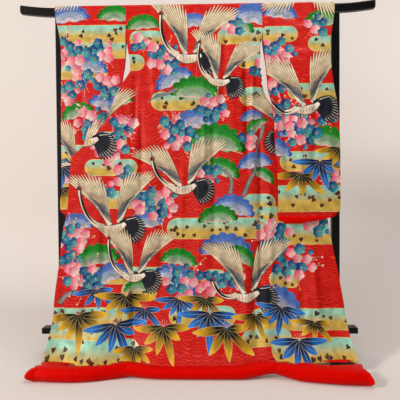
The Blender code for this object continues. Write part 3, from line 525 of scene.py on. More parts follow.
def maths(tree, operation, first, second=None):
    node = add_node(tree, "ShaderNodeMath", {"operation": operation})
    for place, value in enumerate((first, second)):
        if isinstance(value, bpy.types.NodeSocket):
            tree.links.new(value, node.inputs[place])
        elif value is not None:
            node.inputs[place].default_value = value
    return node.outputs[0]


GROUND = colour("D8190C")

# Figured silk satin: red ground with woven ripple lines, embroidered and printed motifs on it
RIPPLE_PITCH, SWAY_PITCH, SWAY_HEIGHT, THREAD_PITCH = 0.0115, 0.037, 0.0019, 0.0011
WANDER_ACROSS, WANDER_DOWN = 14.0, 0.075
silk, tree, shader = new_finish("figured_silk", {"Roughness": 0.42, "Specular IOR Level": 0.14})
uv = add_node(tree, "ShaderNodeUVMap", {"uv_map": "cloth"})
parts = add_node(tree, "ShaderNodeSeparateXYZ", (), {0: uv.outputs[0]})
across, down = parts.outputs[0], parts.outputs[1]
drift = add_node(tree, "ShaderNodeTexNoise", {"Scale": 11.0, "Detail": 2.0}, {"Vector": uv.outputs[0]})
patchy = add_node(tree, "ShaderNodeTexNoise", {"Scale": 30.0, "Detail": 3.0}, {"Vector": uv.outputs[0]})
wander = maths(tree, "MULTIPLY", drift.outputs[0], WANDER_ACROSS)
sway = maths(tree, "SINE", maths(tree, "ADD", maths(tree, "MULTIPLY", across, 2 * math.pi / SWAY_PITCH), wander))
wander = maths(tree, "MULTIPLY", drift.outputs[0], WANDER_DOWN)
swell = maths(tree, "ADD", maths(tree, "ADD", down, maths(tree, "MULTIPLY", sway, SWAY_HEIGHT)), wander)
ripple = maths(tree, "SINE", maths(tree, "MULTIPLY", swell, 2 * math.pi / RIPPLE_PITCH))
smooth = {"interpolation_type": "SMOOTHSTEP", 1: 0.25, 2: 1.0}
lines = add_node(tree, "ShaderNodeMapRange", smooth, {0: ripple}).outputs[0]
diagonal = maths(tree, "ADD", across, down)
thread = maths(tree, "SINE", maths(tree, "MULTIPLY", diagonal, 2 * math.pi / THREAD_PITCH))
printed = add_node(tree, "ShaderNodeAttribute", {"attribute_name": "print"})
ground = add_node(tree, "ShaderNodeAttribute", {"attribute_name": "ground"})
metal = add_node(tree, "ShaderNodeAttribute", {"attribute_name": "metal"})
broken = add_node(tree, "ShaderNodeMapRange", {1: 0.38, 2: 0.66, 3: 0.05, 4: 0.80}, {0: patchy.outputs[0]})
pale = maths(tree, "MULTIPLY", lines, broken.outputs[0])
reds = {"data_type": "RGBA", 6: rgba("AE0500"), 7: rgba("E2442C")}
figure = add_node(tree, "ShaderNodeMix", reds, {0: pale})
mottled = add_node(tree, "ShaderNodeMapRange", {1: 0.3, 2: 0.7, 3: 0.47, 4: 0.76}, {0: patchy.outputs[0]})
darkened = {"data_type": "RGBA", "blend_type": "MULTIPLY", 0: 1.0}
aged = add_node(tree, "ShaderNodeMix", darkened, {6: printed.outputs["Color"], 7: mottled.outputs[0]})
chosen = {0: ground.outputs["Fac"], 6: aged.outputs[2], 7: figure.outputs[2]}
base = add_node(tree, "ShaderNodeMix", {"data_type": "RGBA"}, chosen)
tree.links.new(base.outputs[2], shader.inputs["Base Color"])
tree.links.new(maths(tree, "MULTIPLY", metal.outputs["Fac"], 0.55), shader.inputs["Metallic"])
shiny = maths(tree, "MULTIPLY", maths(tree, "MULTIPLY", lines, ground.outputs["Fac"]), 0.10)
tree.links.new(maths(tree, "SUBTRACT", 0.48, shiny), shader.inputs["Roughness"])
weave = maths(tree, "ADD", maths(tree, "MULTIPLY", lines, 0.5), maths(tree, "MULTIPLY", thread, 0.12))
bump = add_node(tree, "ShaderNodeBump", {"Strength": 0.30, "Distance": 0.0004}, {"Height": weave})
tree.links.new(bump.outputs[0], shader.inputs["Normal"])


def uneven_surface(tree, shader, scale, detail, strength, distance):
    place = add_node(tree, "ShaderNodeTexCoord").outputs["Object"]
    noise = add_node(tree, "ShaderNodeTexNoise", {"Scale": scale, "Detail": detail}, {"Vector": place}).outputs[0]
    bump = add_node(tree, "ShaderNodeBump", {"Strength": strength, "Distance": distance}, {"Height": noise})
    tree.links.new(bump.outputs[0], shader.inputs["Normal"])


# Plain red silk lining: smooth and slightly shiny
soft_sheen = {"Roughness": 0.46, "Specular IOR Level": 0.14, "Specular Tint": rgba("FF5A3C")}
lining, tree, shader = new_finish("red_silk_lining", {"Base Color": rgba("C00401"), **soft_sheen})
uneven_surface(tree, shader, 900.0, 2.0, 0.15, 0.0003)

# Black lacquered wood: deep gloss with faint unevenness
deep_gloss = {"Roughness": 0.34, "Specular IOR Level": 0.16, "Coat Weight": 0.06}
lacquer, tree, shader = new_finish("black_lacquer", {"Base Color": rgba("040304"), **deep_gloss})
uneven_surface(tree, shader, 18.0, 3.0, 0.05, 0.001)

# Motifs
# Pine, bamboo, plum, cranes and mist bands, each drawn from curves in its own units and then laid
# on the flat cloth by rows of place, size and turn. What is laid later lies on top.
def bezier(a, b, c, count=9):
    t = np.linspace(0, 1, count)[:, None]
    return (1 - t) ** 2 * np.array(a) + 2 * t * (1 - t) * np.array(b) + t**2 * np.array(c)


def oval(x, z, wide, high, count):
    angle = np.linspace(0, 2 * math.pi, count, endpoint=False)
    return np.stack([wide * np.cos(angle), high * np.sin(angle)], 1) + (x, z)


def rotation(degrees):
    angle = math.radians(degrees)
    return np.array([[math.cos(angle), math.sin(angle)], [-math.sin(angle), math.cos(angle)]])


def ribbon(line, widths):
    """A strip along a line, with its half width at each point."""
    run = np.gradient(line, axis=0)
    side = np.stack([-run[:, 1], run[:, 0]], 1) / np.linalg.norm(run, axis=1)[:, None]
    widths = np.interp(np.linspace(0, 1, len(line)), np.linspace(0, 1, len(widths)), widths)[:, None]
    return np.concatenate([line + side * widths, (line - side * widths)[::-1]])


def leaf(x, z, degrees, length, half, bend=0.0):
    """A long leaf or feather from its root, widest beyond its middle, and bent to one side."""
    t = np.linspace(0, 1, 6)[:, None]
    line = np.concatenate([t * length, bend * length * t**2], 1)
    return ribbon(line, half * np.array([0.30, 0.75, 1.0, 0.98, 0.75, 0.16])) @ rotation(degrees) + (x, z)


def paint(ring, first, second=None, start=(0, 0), end=(0, 1), metal=0.0):
    return ring, colour(first), colour(second or first), np.array(start, float), np.array(end, float), metal


def lay(target, motif, x, z, size, degrees=0.0, flip=1):
    for ring, first, second, start, end, metal in motif:
        moved = [(part * (flip, 1) * size) @ rotation(degrees) + (x, z) for part in (ring, start, end)]
        along = moved[2] - moved[1]
        along = along / max(along @ along, 1e-12)
        shape = {"ring": moved[0], "colours": (first, second), "from": moved[1], "along": along, "metal": metal}
        target.append(shape)


def toward(degrees):
    return np.array([math.cos(math.radians(degrees)), math.sin(math.radians(degrees))])


def wing(x, z, arm, arm_length, inner, length, feathers):
    """A raised wing: cream flight feathers along an arm, over dark gaps, under blue-grey coverts."""
    made = []
    shoulder, side = np.array([x, z]), 1 if arm > inner else -1
    rows = [
        (part, shoulder + toward(arm) * arm_length * part, inner + (arm - inner) * part)
        for part in np.linspace(0, 1, feathers)
    ]
    for part, root, angle in rows:
        reach = length * (0.80 + 0.22 * math.sin(math.pi * (0.15 + 0.7 * part)) + 0.04 * math.sin(9 * part))
        bend = (0.04 + 0.16 * part) * side
        made.append(paint(leaf(*root, angle, reach, 0.0235, bend), "4A2F20"))
        tip = root + toward(angle) * reach * 0.60
        made.append(paint(leaf(*root, angle, reach * 0.985, 0.0185, bend), "B98A5E", "F6E2BC", root, tip))
    for reach, half, first, second in ((0.38, 0.021, "2F4F78", "BDB5A0"), (0.19, 0.021, "5F7896", "EFDFC0")):
        for part, root, angle in rows[:-1]:
            tip = root + toward(angle) * length * reach
            made.append(paint(leaf(*root, angle, length * reach, half, 0.1 * side), "3B3A44"))
            covert = leaf(*root, angle, length * reach * 0.97, half - 0.005, 0.1 * side)
            made.append(paint(covert, first, second, root, tip))
    elbow = shoulder + toward(arm + 9 * side) * arm_length * 0.6
    line = bezier(shoulder, elbow, rows[-1][1] + toward(arm) * 0.06, 8)
    made.append(paint(ribbon(line, [0.040, 0.028, 0.018, 0.008]), "4A3522"))
    made.append(paint(ribbon(line, [0.032, 0.020, 0.011, 0.003]), "FBEFD8", "EAD9B4", shoulder, line[-1]))
    return made


RUMP, FEATHERS = np.array([0.09, -0.40]), 12


def crane(near, far, neck):
    """A flying crane that faces left, in body lengths: two raised wings, dark tail, long neck."""
    made = wing(0.07, -0.40, *far, FEATHERS)
    for place, angle in enumerate(np.linspace(-58, 16, 12)):
        reach = 0.40 * (0.70 + 0.34 * math.sin(math.pi * (0.2 + 0.8 * place / 11)))
        way = toward(angle)
        tip = way * reach + RUMP
        made.append(paint(leaf(*RUMP, angle, reach, 0.034, -0.10), "0C0D14", "232838", RUMP, tip))
        side = np.array([-way[1], way[0]]) * (-0.05 * reach)
        bend = way * reach * 0.6 + side * 0.3 + RUMP
        quill = bezier(way * 0.10 + RUMP, bend, tip * 0.9 + (0.009, -0.040) + side * 1.3, 5)
        made.append(paint(ribbon(quill, [0.0065, 0.0030]), "E6DEC8"))
    for grow, first, second in ((0.012, "5B4128", "5B4128"), (0.0, "F2CBA6", "FFF9EC")):
        line = bezier((-0.20, -0.44), (-0.02, -0.56), (0.17, -0.42), 10)
        body = ribbon(line, np.array([0.026, 0.048, 0.060, 0.052, 0.022]) + grow)
        made.append(paint(body, first, second, (0, -0.56), (0, -0.42)))
    for place in np.linspace(-0.12, 0.10, 6):
        scale = bezier((place, -0.455), (place + 0.022, -0.485), (place + 0.004, -0.515), 4)
        made.append(paint(ribbon(scale, [0.003, 0.005]), "B4805E"))
    made += wing(-0.04, -0.43, *near, FEATHERS + 1)
    line = bezier((-0.15, -0.45), neck[0], neck[1], 12)
    made.append(paint(ribbon(line, [0.052, 0.034, 0.027, 0.030]), "4A3522"))
    made.append(paint(ribbon(line, [0.044, 0.027, 0.020, 0.023]), "FFF4DE", "F3DCC2", neck[1], (-0.12, -0.43)))
    made.append(paint(ribbon(line[2:] + (0.010, -0.004), [0.003, 0.015, 0.016, 0.008]), "17171F"))
    head, way = np.array(neck[1]), line[-1] - line[-2]
    way = way / np.linalg.norm(way)
    across = np.array([-way[1], way[0]])
    made.append(paint(oval(*head, 0.036, 0.030, 10), "1E1E26"))
    made.append(paint(oval(*(head + across * -0.010), 0.020, 0.014, 8), "E0301C"))
    cheek, wide = head + way * 0.024, across * 0.012
    made.append(paint(np.stack([cheek + wide, head + way * 0.135, cheek - wide]), "8A7F6E"))
    return made


LOBES = 8


def pine(first, second, pale, rim):
    """A scalloped pine crown, one unit wide: rim, inner fan, needle lines, and a light underline."""
    def crown(wide, high, bump):
        angle = np.linspace(0, math.pi, LOBES * 4 + 1)
        swell = 1 + bump * np.abs(np.sin(angle * LOBES)) ** 0.7
        top = np.stack([wide * np.cos(angle) * swell, high * np.sin(angle) * swell], 1)
        sag = np.linspace(-wide, wide, 9)[1:-1]
        under = np.stack([sag, 0.11 * high * np.cos(sag / wide * math.pi * 2.5) - 0.02], 1)
        return np.concatenate([top, under])

    made = [paint(crown(0.50, 0.42, 0.13), rim, first, (0, 0.0), (0, 0.40))]
    made.append(paint(crown(0.44, 0.34, 0.10), second, first, (0, 0.05), (0, 0.36)))
    made.append(paint(crown(0.37, 0.25, 0.09), pale, second, (0, 0.04), (0, 0.26)))
    for angle in np.linspace(12, 168, 17):
        way = np.array([math.cos(math.radians(angle)), math.sin(math.radians(angle)) * 0.82])
        line = np.stack([way * 0.13, way * (0.385 + 0.02 * math.sin(angle))])
        made.append(paint(ribbon(line, [0.0055, 0.0015]), "6F7F78"))
    for reach in (0.20, 0.29):
        angle = np.radians(np.linspace(8, 172, 15))
        line = np.stack([np.cos(angle) * reach * 1.12, np.sin(angle) * reach * 0.70], 1)
        made.append(paint(ribbon(line, [0.005, 0.006, 0.005]), "8B9A98"))
    under = bezier((-0.50, -0.02), (0.0, 0.05), (0.50, -0.03), 9)
    made.append(paint(ribbon(under, [0.004, 0.012, 0.004]), "F6C3B4"))
    return made


def plum(deep, pale, line):
    """A five-petalled flower, one unit across, shaded from top to bottom."""
    angle = np.linspace(0, 2 * math.pi, 20, endpoint=False)
    edge = 0.40 + 0.10 * np.abs(np.cos(angle * 2.5)) ** 0.6
    ring = np.stack([edge * np.sin(angle), edge * np.cos(angle)], 1)
    made = [paint(ring * 1.06, line), paint(ring, deep, pale, (-0.10, 0.30), (0.15, -0.45))]
    for petal in range(5):
        way = np.array([math.sin(math.radians(36 + petal * 72)), math.cos(math.radians(36 + petal * 72))])
        made.append(paint(ribbon(np.stack([way * 0.10, way * 0.36]), [0.010, 0.018]), line))
    for petal in range(5):
        way = np.array([math.sin(math.radians(petal * 72)), math.cos(math.radians(petal * 72))])
        made.append(paint(oval(*(way * 0.17), 0.026, 0.026, 4), "FFE9A8", metal=0.3))
    made.append(paint(oval(0, 0, 0.06, 0.06, 7), "F2C84B", metal=0.4))
    return made


def bamboo(dark, bright, rib, leaves):
    """A fan of long leaves from one node, one unit long, each with a pale rib and edge."""
    made = []
    for place, angle in enumerate(np.linspace(-172, -8, leaves)):
        reach = 0.80 + 0.20 * math.sin(place * 2.4 + 1)
        way = toward(angle)
        bend = 0.10 * math.cos(math.radians(angle))
        made.append(paint(leaf(*(way * 0.03), angle, reach, 0.117, bend), "D9C88A", metal=0.35))
        start, end = way * 0.32 * reach, way * 0.90 * reach
        made.append(paint(leaf(*(way * 0.03), angle, reach * 0.985, 0.108, bend), dark, bright, start, end))
        made.append(paint(leaf(*(way * 0.03), angle, reach * 0.93, 0.006, bend), rib))
    for angle in np.linspace(25, 155, 6):
        way = toward(angle)
        made.append(paint(ribbon(np.stack([way * 0.02, way * 0.22]), [0.004, 0.007]), "F3B7A6"))
    return made


def sprig(twigs, seed):
    """Thin plum twigs with small buds."""
    scatter = np.random.default_rng(seed)
    made = []
    for _ in range(twigs):
        angle, reach = math.radians(scatter.uniform(20, 160)), scatter.uniform(0.3, 1.0)
        tip = np.array([math.cos(angle), math.sin(angle)]) * reach
        middle = tip / 2 + scatter.uniform(-0.12, 0.12, 2)
        made.append(paint(ribbon(bezier((0, 0), middle, tip, 4), [0.018, 0.007]), "EFA08C"))
        for share in (0.55, 0.8, 1.0):
            bud = tip * share + scatter.uniform(-0.06, 0.06, 2)
            hue = ("FFB9B4", "FFE0D4", "F7A24E")[int(scatter.integers(3))]
            made.append(paint(oval(*bud, 0.034, 0.034, 5), hue))
    return made


def branch(points, thick):
    """A crooked pine or plum branch in grey and brown."""
    line = np.concatenate([bezier(a, b, c, 6) for a, b, c in zip(points[:-2:2], points[1:-1:2], points[2::2])])
    line = line[np.concatenate([[True], np.linalg.norm(np.diff(line, axis=0), axis=1) > 1e-6])]
    return [
        paint(ribbon(line, [thick, thick * 0.7, thick * 0.3]), "5E6468"),
        paint(ribbon(line, [thick * 0.6, thick * 0.4, thick * 0.12]), "A08E84", "8C99A0", line[0], line[-1]),
    ]


def mist(bars, seed):
    """Mist bands with round ends, mint above and gold below, with small dark leaves."""
    scatter = np.random.default_rng(seed)

    def bar(left, right, z, half):
        ends = [math.radians(a) for a in np.linspace(90, 270, 11)]
        first = [(left + half + half * math.cos(a), z + half * math.sin(a)) for a in ends]
        return np.array(first + [(right - half - half * math.cos(a), z - half * math.sin(a)) for a in ends])

    made = []
    for left, right, z, half in bars:
        made.append(paint(bar(left - 0.003, right + 0.003, z, half + 0.003), "E9D48A", metal=0.7))
        low, high = (0, z - half * 0.25), (0, z + half * 0.55)
        made.append(paint(bar(left, right, z, half), "E2BC58", "A8E0C8", low, high, 0.30))
    for left, right, z, half in bars:
        for _ in range(int((right - left) * half * 2 / 0.0027)):
            x = scatter.uniform(left + half * 0.4, right - half * 0.4)
            up = scatter.uniform(z - half * 0.72, z + half * 0.72)
            heart = np.array([(0, -1.1), (0.75, -0.1), (0.8, 0.6), (0.35, 0.85), (0, 0.45)])
            heart = np.concatenate([heart, heart[3:0:-1] * (-1, 1)])
            hue = ("521F22", "6A3426", "5A4A36", "46282A")[int(scatter.integers(4))]
            size, turn = scatter.uniform(0.009, 0.014), scatter.uniform(-60, 60)
            made.append(paint(heart * size @ rotation(turn) + (x, up), hue))
    return made


GREEN = ("0F8A1E", "3FA838", "B9C8A8", "084E12")
SEA = ("4A74C4", "86A0DC", "CFD2E0", "2A4F9E")
HUES = (
    ("0B3A86", "38A8B8", "0C4488"),
    ("0F5590", "62C8BC", "14608E"),
    ("FF5A88", "FFE2D4", "F8688E"),
    ("F0688F", "FFF0E2", "F28CA4"),
)
BLUE_LEAF, GOLD_LEAF = ("03103C", "2488F0", "8FB4E8"), ("0C1408", "FFC21E", "B89A50")


def posy(target, x, z, reach, count, seed):
    """A loose cluster of plum flowers over thin twigs."""
    scatter = np.random.default_rng(seed)
    lay(target, sprig(7, seed), x, z, reach * 1.5, scatter.uniform(-40, 40))
    lay(target, sprig(5, seed + 1), x, z, reach * 1.4, scatter.uniform(140, 220))
    count = round(1.3 * count)
    for number in range(count):
        angle, out = 2.4 * number + seed, 0.88 * reach * math.sqrt((number + 0.2) / count)
        hue = HUES[(0, 2, 1, 3, 0, 2, 1)[(number + seed) % 7]]
        wide = scatter.uniform(0.040, 0.053) if number < count * 0.8 else scatter.uniform(0.024, 0.032)
        flower_x, flower_z = x + out * math.cos(angle) * 1.1, z + out * math.sin(angle) * 0.9
        lay(target, plum(*hue), flower_x, flower_z, wide, scatter.uniform(0, 72))


# Where the motifs lie, in the signed distance from the centre back and the height on the cloth.
# A sleeve's far wall, and the fronts' part behind the back, go on above the ridge or past the fold.
MISTS = {
    "body": (
        (-0.31, -0.16, 1.52, 0.034), (-0.45, -0.245, 1.405, 0.036), (-0.21, 0.08, 1.222, 0.041),
        (0.1, 0.38, 1.525, 0.036), (0.2, 0.46, 1.462, 0.032), (0.19, 0.35, 1.405, 0.03),
        (0.2, 0.4, 1.24, 0.04), (-0.46, -0.33, 1.045, 0.034), (-0.52, -0.28, 0.915, 0.036),
        (-0.47, -0.14, 0.765, 0.038), (0.21, 0.36, 0.745, 0.04), (0.26, 0.42, 0.69, 0.036),
        (-0.14, 0.33, 0.63, 0.046), (0.34, 0.66, 0.6, 0.045), (-0.5, -0.06, 0.415, 0.036),
        (-0.35, -0.19, 0.345, 0.038), (0.02, 0.13, 0.402, 0.036), (0.33, 0.47, 0.395, 0.04),
        (-0.8, -0.3, 0.225, 0.044), (-0.8, -0.42, 0.15, 0.048), (-0.8, -0.26, 0.08, 0.055),
        (-0.13, 0.17, 0.235, 0.04), (0.24, 0.8, 0.215, 0.045), (0.2, 0.42, 0.14, 0.034),
        (0.33, 0.8, 0.09, 0.046), (0.42, 0.62, 1.33, 0.038), (-0.62, -0.42, 1.56, 0.038),
    ),
    "left": (
        (0.3, 0.8, 1.545, 0.04), (0.42, 0.8, 1.375, 0.038), (0.3, 0.5, 1.12, 0.036),
        (0.48, 0.8, 0.985, 0.036), (0.3, 0.62, 1.465, 0.034), (0.5, 0.8, 0.865, 0.046),
        (0.3, 0.8, 0.775, 0.052), (0.3, 0.55, 1.88, 0.038), (0.46, 0.8, 2.08, 0.04),
        (0.3, 0.58, 2.33, 0.04), (0.3, 0.8, 2.62, 0.052),
    ),
    "right": (
        (0.3, 0.47, 1.53, 0.036), (0.52, 0.8, 1.48, 0.036), (0.42, 0.8, 1.255, 0.034),
        (0.38, 0.8, 0.935, 0.042), (0.3, 0.8, 0.765, 0.058), (0.44, 0.8, 1.9, 0.038),
        (0.3, 0.52, 2.12, 0.04), (0.46, 0.8, 2.37, 0.04), (0.3, 0.8, 2.62, 0.052),
    ),
}
PINES = {
    "body": (
        (0.195, 1.59, 0.14, -24, "green"), (0.27, 1.625, 0.21, -8, "sea"), (-0.015, 1.6, 0.14, 6, "sea"),
        (-0.25, 1.595, 0.15, 4, "green"), (-0.1, 1.335, 0.17, 24, "sea"), (-0.01, 1.275, 0.22, -6, "green"),
        (-0.015, 1.13, 0.19, 8, "sea"), (0.09, 1.045, 0.25, -10, "green"),
        (0.105, 0.91, 0.17, -14, "green"), (-0.345, 1.225, 0.1, 18, "green"),
        (0.285, 1.11, 0.11, 40, "green"), (0.255, 1.15, 0.1, 10, "sea"), (0.27, 0.94, 0.15, 8, "sea"),
        (0.3, 0.88, 0.11, -30, "green"), (0.165, 0.735, 0.18, -14, "sea"), (0.095, 0.69, 0.17, 4, "green"),
        (0.13, 0.545, 0.23, -4, "sea"), (0.19, 0.51, 0.14, -30, "green"), (-0.09, 0.495, 0.16, -8, "green"),
        (-0.24, 0.665, 0.16, 10, "sea"), (-0.56, 0.665, 0.14, -4, "sea"), (-0.465, 0.505, 0.2, 10, "green"),
        (-0.4, 0.425, 0.17, 24, "sea"), (-0.11, 0.405, 0.2, -34, "sea"), (0.36, 0.3, 0.22, -38, "sea"),
        (-0.27, 0.37, 0.13, 6, "green"), (0.47, 1.48, 0.2, 10, "green"), (-0.48, 1.36, 0.2, -12, "sea"),
    ),
    "left": (
        (0.43, 1.215, 0.17, 24, "sea"), (0.56, 1.185, 0.15, -16, "green"), (0.5, 1.4, 0.15, 10, "sea"),
        (0.6, 1.64, 0.18, -6, "sea"), (0.385, 1.64, 0.16, 5, "green"), (0.48, 0.87, 0.2, 8, "green"),
        (0.46, 2.19, 0.22, -8, "green"), (0.58, 2.44, 0.18, 12, "sea"),
    ),
    "right": (
        (0.345, 1.0, 0.16, -12, "sea"), (0.59, 1.04, 0.2, -14, "green"), (0.46, 1.09, 0.17, 10, "sea"),
        (0.33, 1.095, 0.12, 24, "green"), (0.39, 1.64, 0.15, -6, "sea"), (0.59, 1.6, 0.17, 8, "green"),
        (0.54, 2.02, 0.22, -8, "green"), (0.4, 2.28, 0.18, 12, "sea"), (0.56, 2.52, 0.2, 4, "green"),
    ),
}
POSIES = {
    "body": (
        (-0.155, 1.43, 0.085, 11), (-0.13, 1.385, 0.05, 4), (0.075, 1.19, 0.08, 9), (-0.12, 1.11, 0.06, 4),
        (-0.085, 1.055, 0.085, 9), (0.06, 0.88, 0.055, 5), (-0.18, 0.75, 0.095, 12),
        (-0.06, 0.375, 0.105, 11), (0.07, 0.385, 0.06, 6), (0.35, 0.6, 0.09, 9), (0.44, 0.47, 0.11, 12),
        (-0.4, 1.01, 0.09, 10), (-0.33, 0.87, 0.065, 6), (-0.44, 0.8, 0.07, 5), (-0.575, 0.59, 0.08, 9),
        (-0.59, 0.475, 0.06, 6), (-0.53, 0.4, 0.09, 11), (0.33, 1.37, 0.08, 8), (-0.42, 1.48, 0.09, 9),
        (0.52, 1.61, 0.08, 8), (0.17, 1.575, 0.055, 5), (-0.27, 1.5, 0.045, 4), (0.235, 1.04, 0.045, 4),
        (-0.26, 0.76, 0.07, 7), (0.56, 0.64, 0.06, 5), (-0.34, 1.11, 0.06, 6), (0.17, 0.4, 0.055, 5),
    ),
    "left": (
        (0.61, 1.455, 0.09, 10), (0.455, 1.46, 0.07, 7), (0.42, 1.3, 0.07, 7), (0.54, 1.34, 0.06, 5),
        (0.62, 1.27, 0.065, 6), (0.4, 1.03, 0.07, 6), (0.5, 1.12, 0.1, 9), (0.6, 0.9, 0.08, 8),
        (0.43, 2.02, 0.09, 9), (0.56, 2.3, 0.09, 9), (0.4, 2.5, 0.08, 7),
    ),
    "right": (
        (0.38, 1.44, 0.085, 9), (0.56, 1.57, 0.06, 5), (0.345, 1.27, 0.055, 5), (0.61, 0.85, 0.05, 4),
        (0.4, 1.14, 0.095, 11), (0.48, 1.06, 0.085, 9), (0.6, 1.15, 0.06, 5), (0.42, 1.84, 0.09, 9),
        (0.56, 2.2, 0.1, 10), (0.42, 2.48, 0.08, 7),
    ),
}
BAMBOOS = {
    "body": (
        (-0.465, 0.35, 0.115, 6, "blue"), (-0.33, 0.325, 0.15, -3, "gold"),
        (-0.545, 0.24, 0.155, 4, "gold"), (-0.245, 0.265, 0.115, 0, "blue"), (-0.375, 0.2, 0.15, 8, "blue"),
        (-0.085, 0.31, 0.115, 0, "blue"), (0.035, 0.31, 0.13, -4, "gold"), (-0.155, 0.19, 0.14, 3, "gold"),
        (0.055, 0.245, 0.15, -2, "blue"), (0.13, 0.185, 0.155, 4, "gold"), (0.265, 0.235, 0.115, 0, "gold"),
        (0.385, 0.265, 0.125, -12, "blue"), (0.53, 0.205, 0.11, -4, "gold"),
        (0.455, 0.13, 0.135, 2, "blue"), (-0.285, 0.105, 0.095, 3, "gold"), (-0.585, 1.11, 0.12, 6, "gold"),
    ),
    "left": (
        (0.64, 0.92, 0.13, 0, "blue"), (0.65, 0.82, 0.12, 0, "gold"), (0.43, 0.96, 0.12, 0, "blue"),
        (0.46, 2.48, 0.14, 180, "gold"), (0.58, 2.56, 0.13, 180, "blue"),
    ),
    "right": (
        (0.475, 0.88, 0.14, 3, "gold"), (0.56, 0.935, 0.13, -2, "blue"), (0.655, 0.995, 0.12, 4, "gold"),
        (0.44, 2.56, 0.14, 180, "blue"), (0.58, 2.49, 0.13, 180, "gold"),
    ),
}
CRANES = {
    "body": (
        (-0.02, 1.585, 0.34, -6, 1, "tall"), (0.13, 1.44, 0.28, -12, 1, "tall"),
        (-0.067, 0.965, 0.32, 2, 1, "level"), (-0.4, 0.79, 0.33, 4, 1, "tall"),
        (-0.285, 0.545, 0.29, -4, 1, "tall"), (0.226, 0.47, 0.32, 0, 1, "low"),
        (0.43, 1.2, 0.32, 8, -1, "level"), (-0.5, 1.19, 0.32, -6, 1, "low"),
    ),
    "left": (
        (0.555, 1.055, 0.28, 6, -1, "low"), (0.48, 1.79, 0.36, 170, -1, "tall"),
        (0.52, 2.39, 0.36, 186, -1, "level"),
    ),
    "right": (
        (0.485, 1.33, 0.33, 8, 1, "low"), (0.52, 1.73, 0.36, 176, 1, "tall"),
        (0.43, 2.38, 0.34, 184, 1, "level"),
    ),
}
BRANCHES = (
    ("body", 0.012, ((0.215, 0.780), (0.235, 0.845), (0.262, 0.880), (0.275, 0.905), (0.268, 0.945))),
    ("body", 0.011, ((0.150, 0.790), (0.165, 0.830), (0.155, 0.865), (0.135, 0.895), (0.105, 0.915))),
    ("body", 0.014, ((-0.640, 0.290), (-0.610, 0.330), (-0.575, 0.345), (-0.550, 0.370), (-0.560, 0.405))),
    ("body", 0.010, ((-0.090, 1.280), (-0.135, 1.255), (-0.170, 1.250), (-0.205, 1.240), (-0.225, 1.215))),
    ("body", 0.010, ((0.020, 0.530), (0.050, 0.560), (0.090, 0.555), (0.120, 0.550), (0.140, 0.570))),
    ("body", 0.010, ((0.310, 1.105), (0.300, 1.060), (0.285, 1.030), (0.275, 0.990), (0.272, 0.960))),
    ("left", 0.012, ((0.420, 1.160), (0.450, 1.180), (0.470, 1.150), (0.490, 1.130), (0.520, 1.140))),
    ("right", 0.012, ((0.330, 1.170), (0.360, 1.130), (0.390, 1.120), (0.420, 1.090), (0.470, 1.080))),
)

SHAPES = {"body": [], "left": [], "right": []}
FEATHERED = {
    "tall": crane((122, 0.24, 94, 0.72), (56, 0.20, 82, 0.70), ((-0.44, -0.34), (-0.44, 0.12))),
    "level": crane((138, 0.24, 108, 0.66), (52, 0.20, 84, 0.66), ((-0.42, -0.32), (-0.44, -0.02))),
    "low": crane((124, 0.24, 96, 0.72), (58, 0.22, 84, 0.74), ((-0.40, -0.56), (-0.50, -0.24))),
}
for sheet, target in SHAPES.items():
    lay(target, mist(MISTS[sheet], 11), 0, 0, 1)
    for x, z, size, degrees, hue in PINES[sheet]:
        lay(target, pine(*(GREEN if hue == "green" else SEA)), x, z - 0.35 * size * 0.5, size, degrees)
    for home, thick, points in BRANCHES:
        if home == sheet:
            lay(target, branch(points, thick), 0, 0, 1)
    for number, (x, z, reach, count) in enumerate(POSIES[sheet]):
        posy(target, x, z, reach, count, number + 1)
    for x, z, size, degrees, flip, kind in CRANES[sheet]:
        lay(target, FEATHERED[kind], x, z, size, degrees, flip)
    for number, (x, z, size, degrees, hue) in enumerate(BAMBOOS[sheet]):
        hues = BLUE_LEAF if hue == "blue" else GOLD_LEAF
        lay(target, bamboo(*hues, 5 + number % 3), x, z, size, degrees)


# Body panels: two backs, two fronts, two gussets
# Each is cut flat, as wide and long as its piece, then laid on its solid's form.
TUCKED, ROW_STEP, PANEL_PITCH, COLLAR_PITCH = 0.010, 0.015, 0.010, 0.009


def heights(low, high):
    return np.linspace(low, high, max(2, int(round((high - low) / ROW_STEP)) + 1))


def outline(low, high, first, last):
    """A panel's flat edge: up its outer side and down its inner side."""
    rows = heights(low, high)
    outer, inner = last(rows), first(rows)
    return np.concatenate([np.stack([outer, rows], 1), np.stack([inner, rows], 1)[::-1]])


def ridge_rows(first, last):
    """Extra points where the cloth bends over the rail."""
    rows = np.linspace(HANG_TOP - 0.004, RIDGE - 0.001, 14)
    return [(x, row) for row in rows for x in np.arange(first, last, PANEL_PITCH)]


def declare(node, flat, faces, size=None):
    """Hides a sheet's node, and works out the sheet's flat size and area in metres, which are not kept."""
    corners = flat[faces]
    one, two = corners[:, 1] - corners[:, 0], corners[:, 2] - corners[:, 0]
    area = float(np.abs(one[:, 0] * two[:, 1] - one[:, 1] * two[:, 0]).sum() / 2)
    width, length = size or np.ptp(flat, axis=0)
    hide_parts(node)
    area = min(area, float(width * length))


def half_of_print(side):
    """The body's motifs as distances from the centre back, for one side."""
    return [
        {**shape, **{key: shape[key] * (side, 1) for key in ("ring", "from", "along")}}
        for shape in SHAPES["body"]
    ]


def fold_points(side, part, threads):
    """Extra points across the turned-over edge, so that it bends smoothly."""
    made = []
    for thread in threads:
        crest = np.interp(thread, THREADS, CREST[side, part])
        for step in np.linspace(-0.15, 1.1, 11):
            start, width = span(side, part, np.array(crest + step * TURN))
            made.append((float(start + thread * width), crest + step * TURN))
    return made


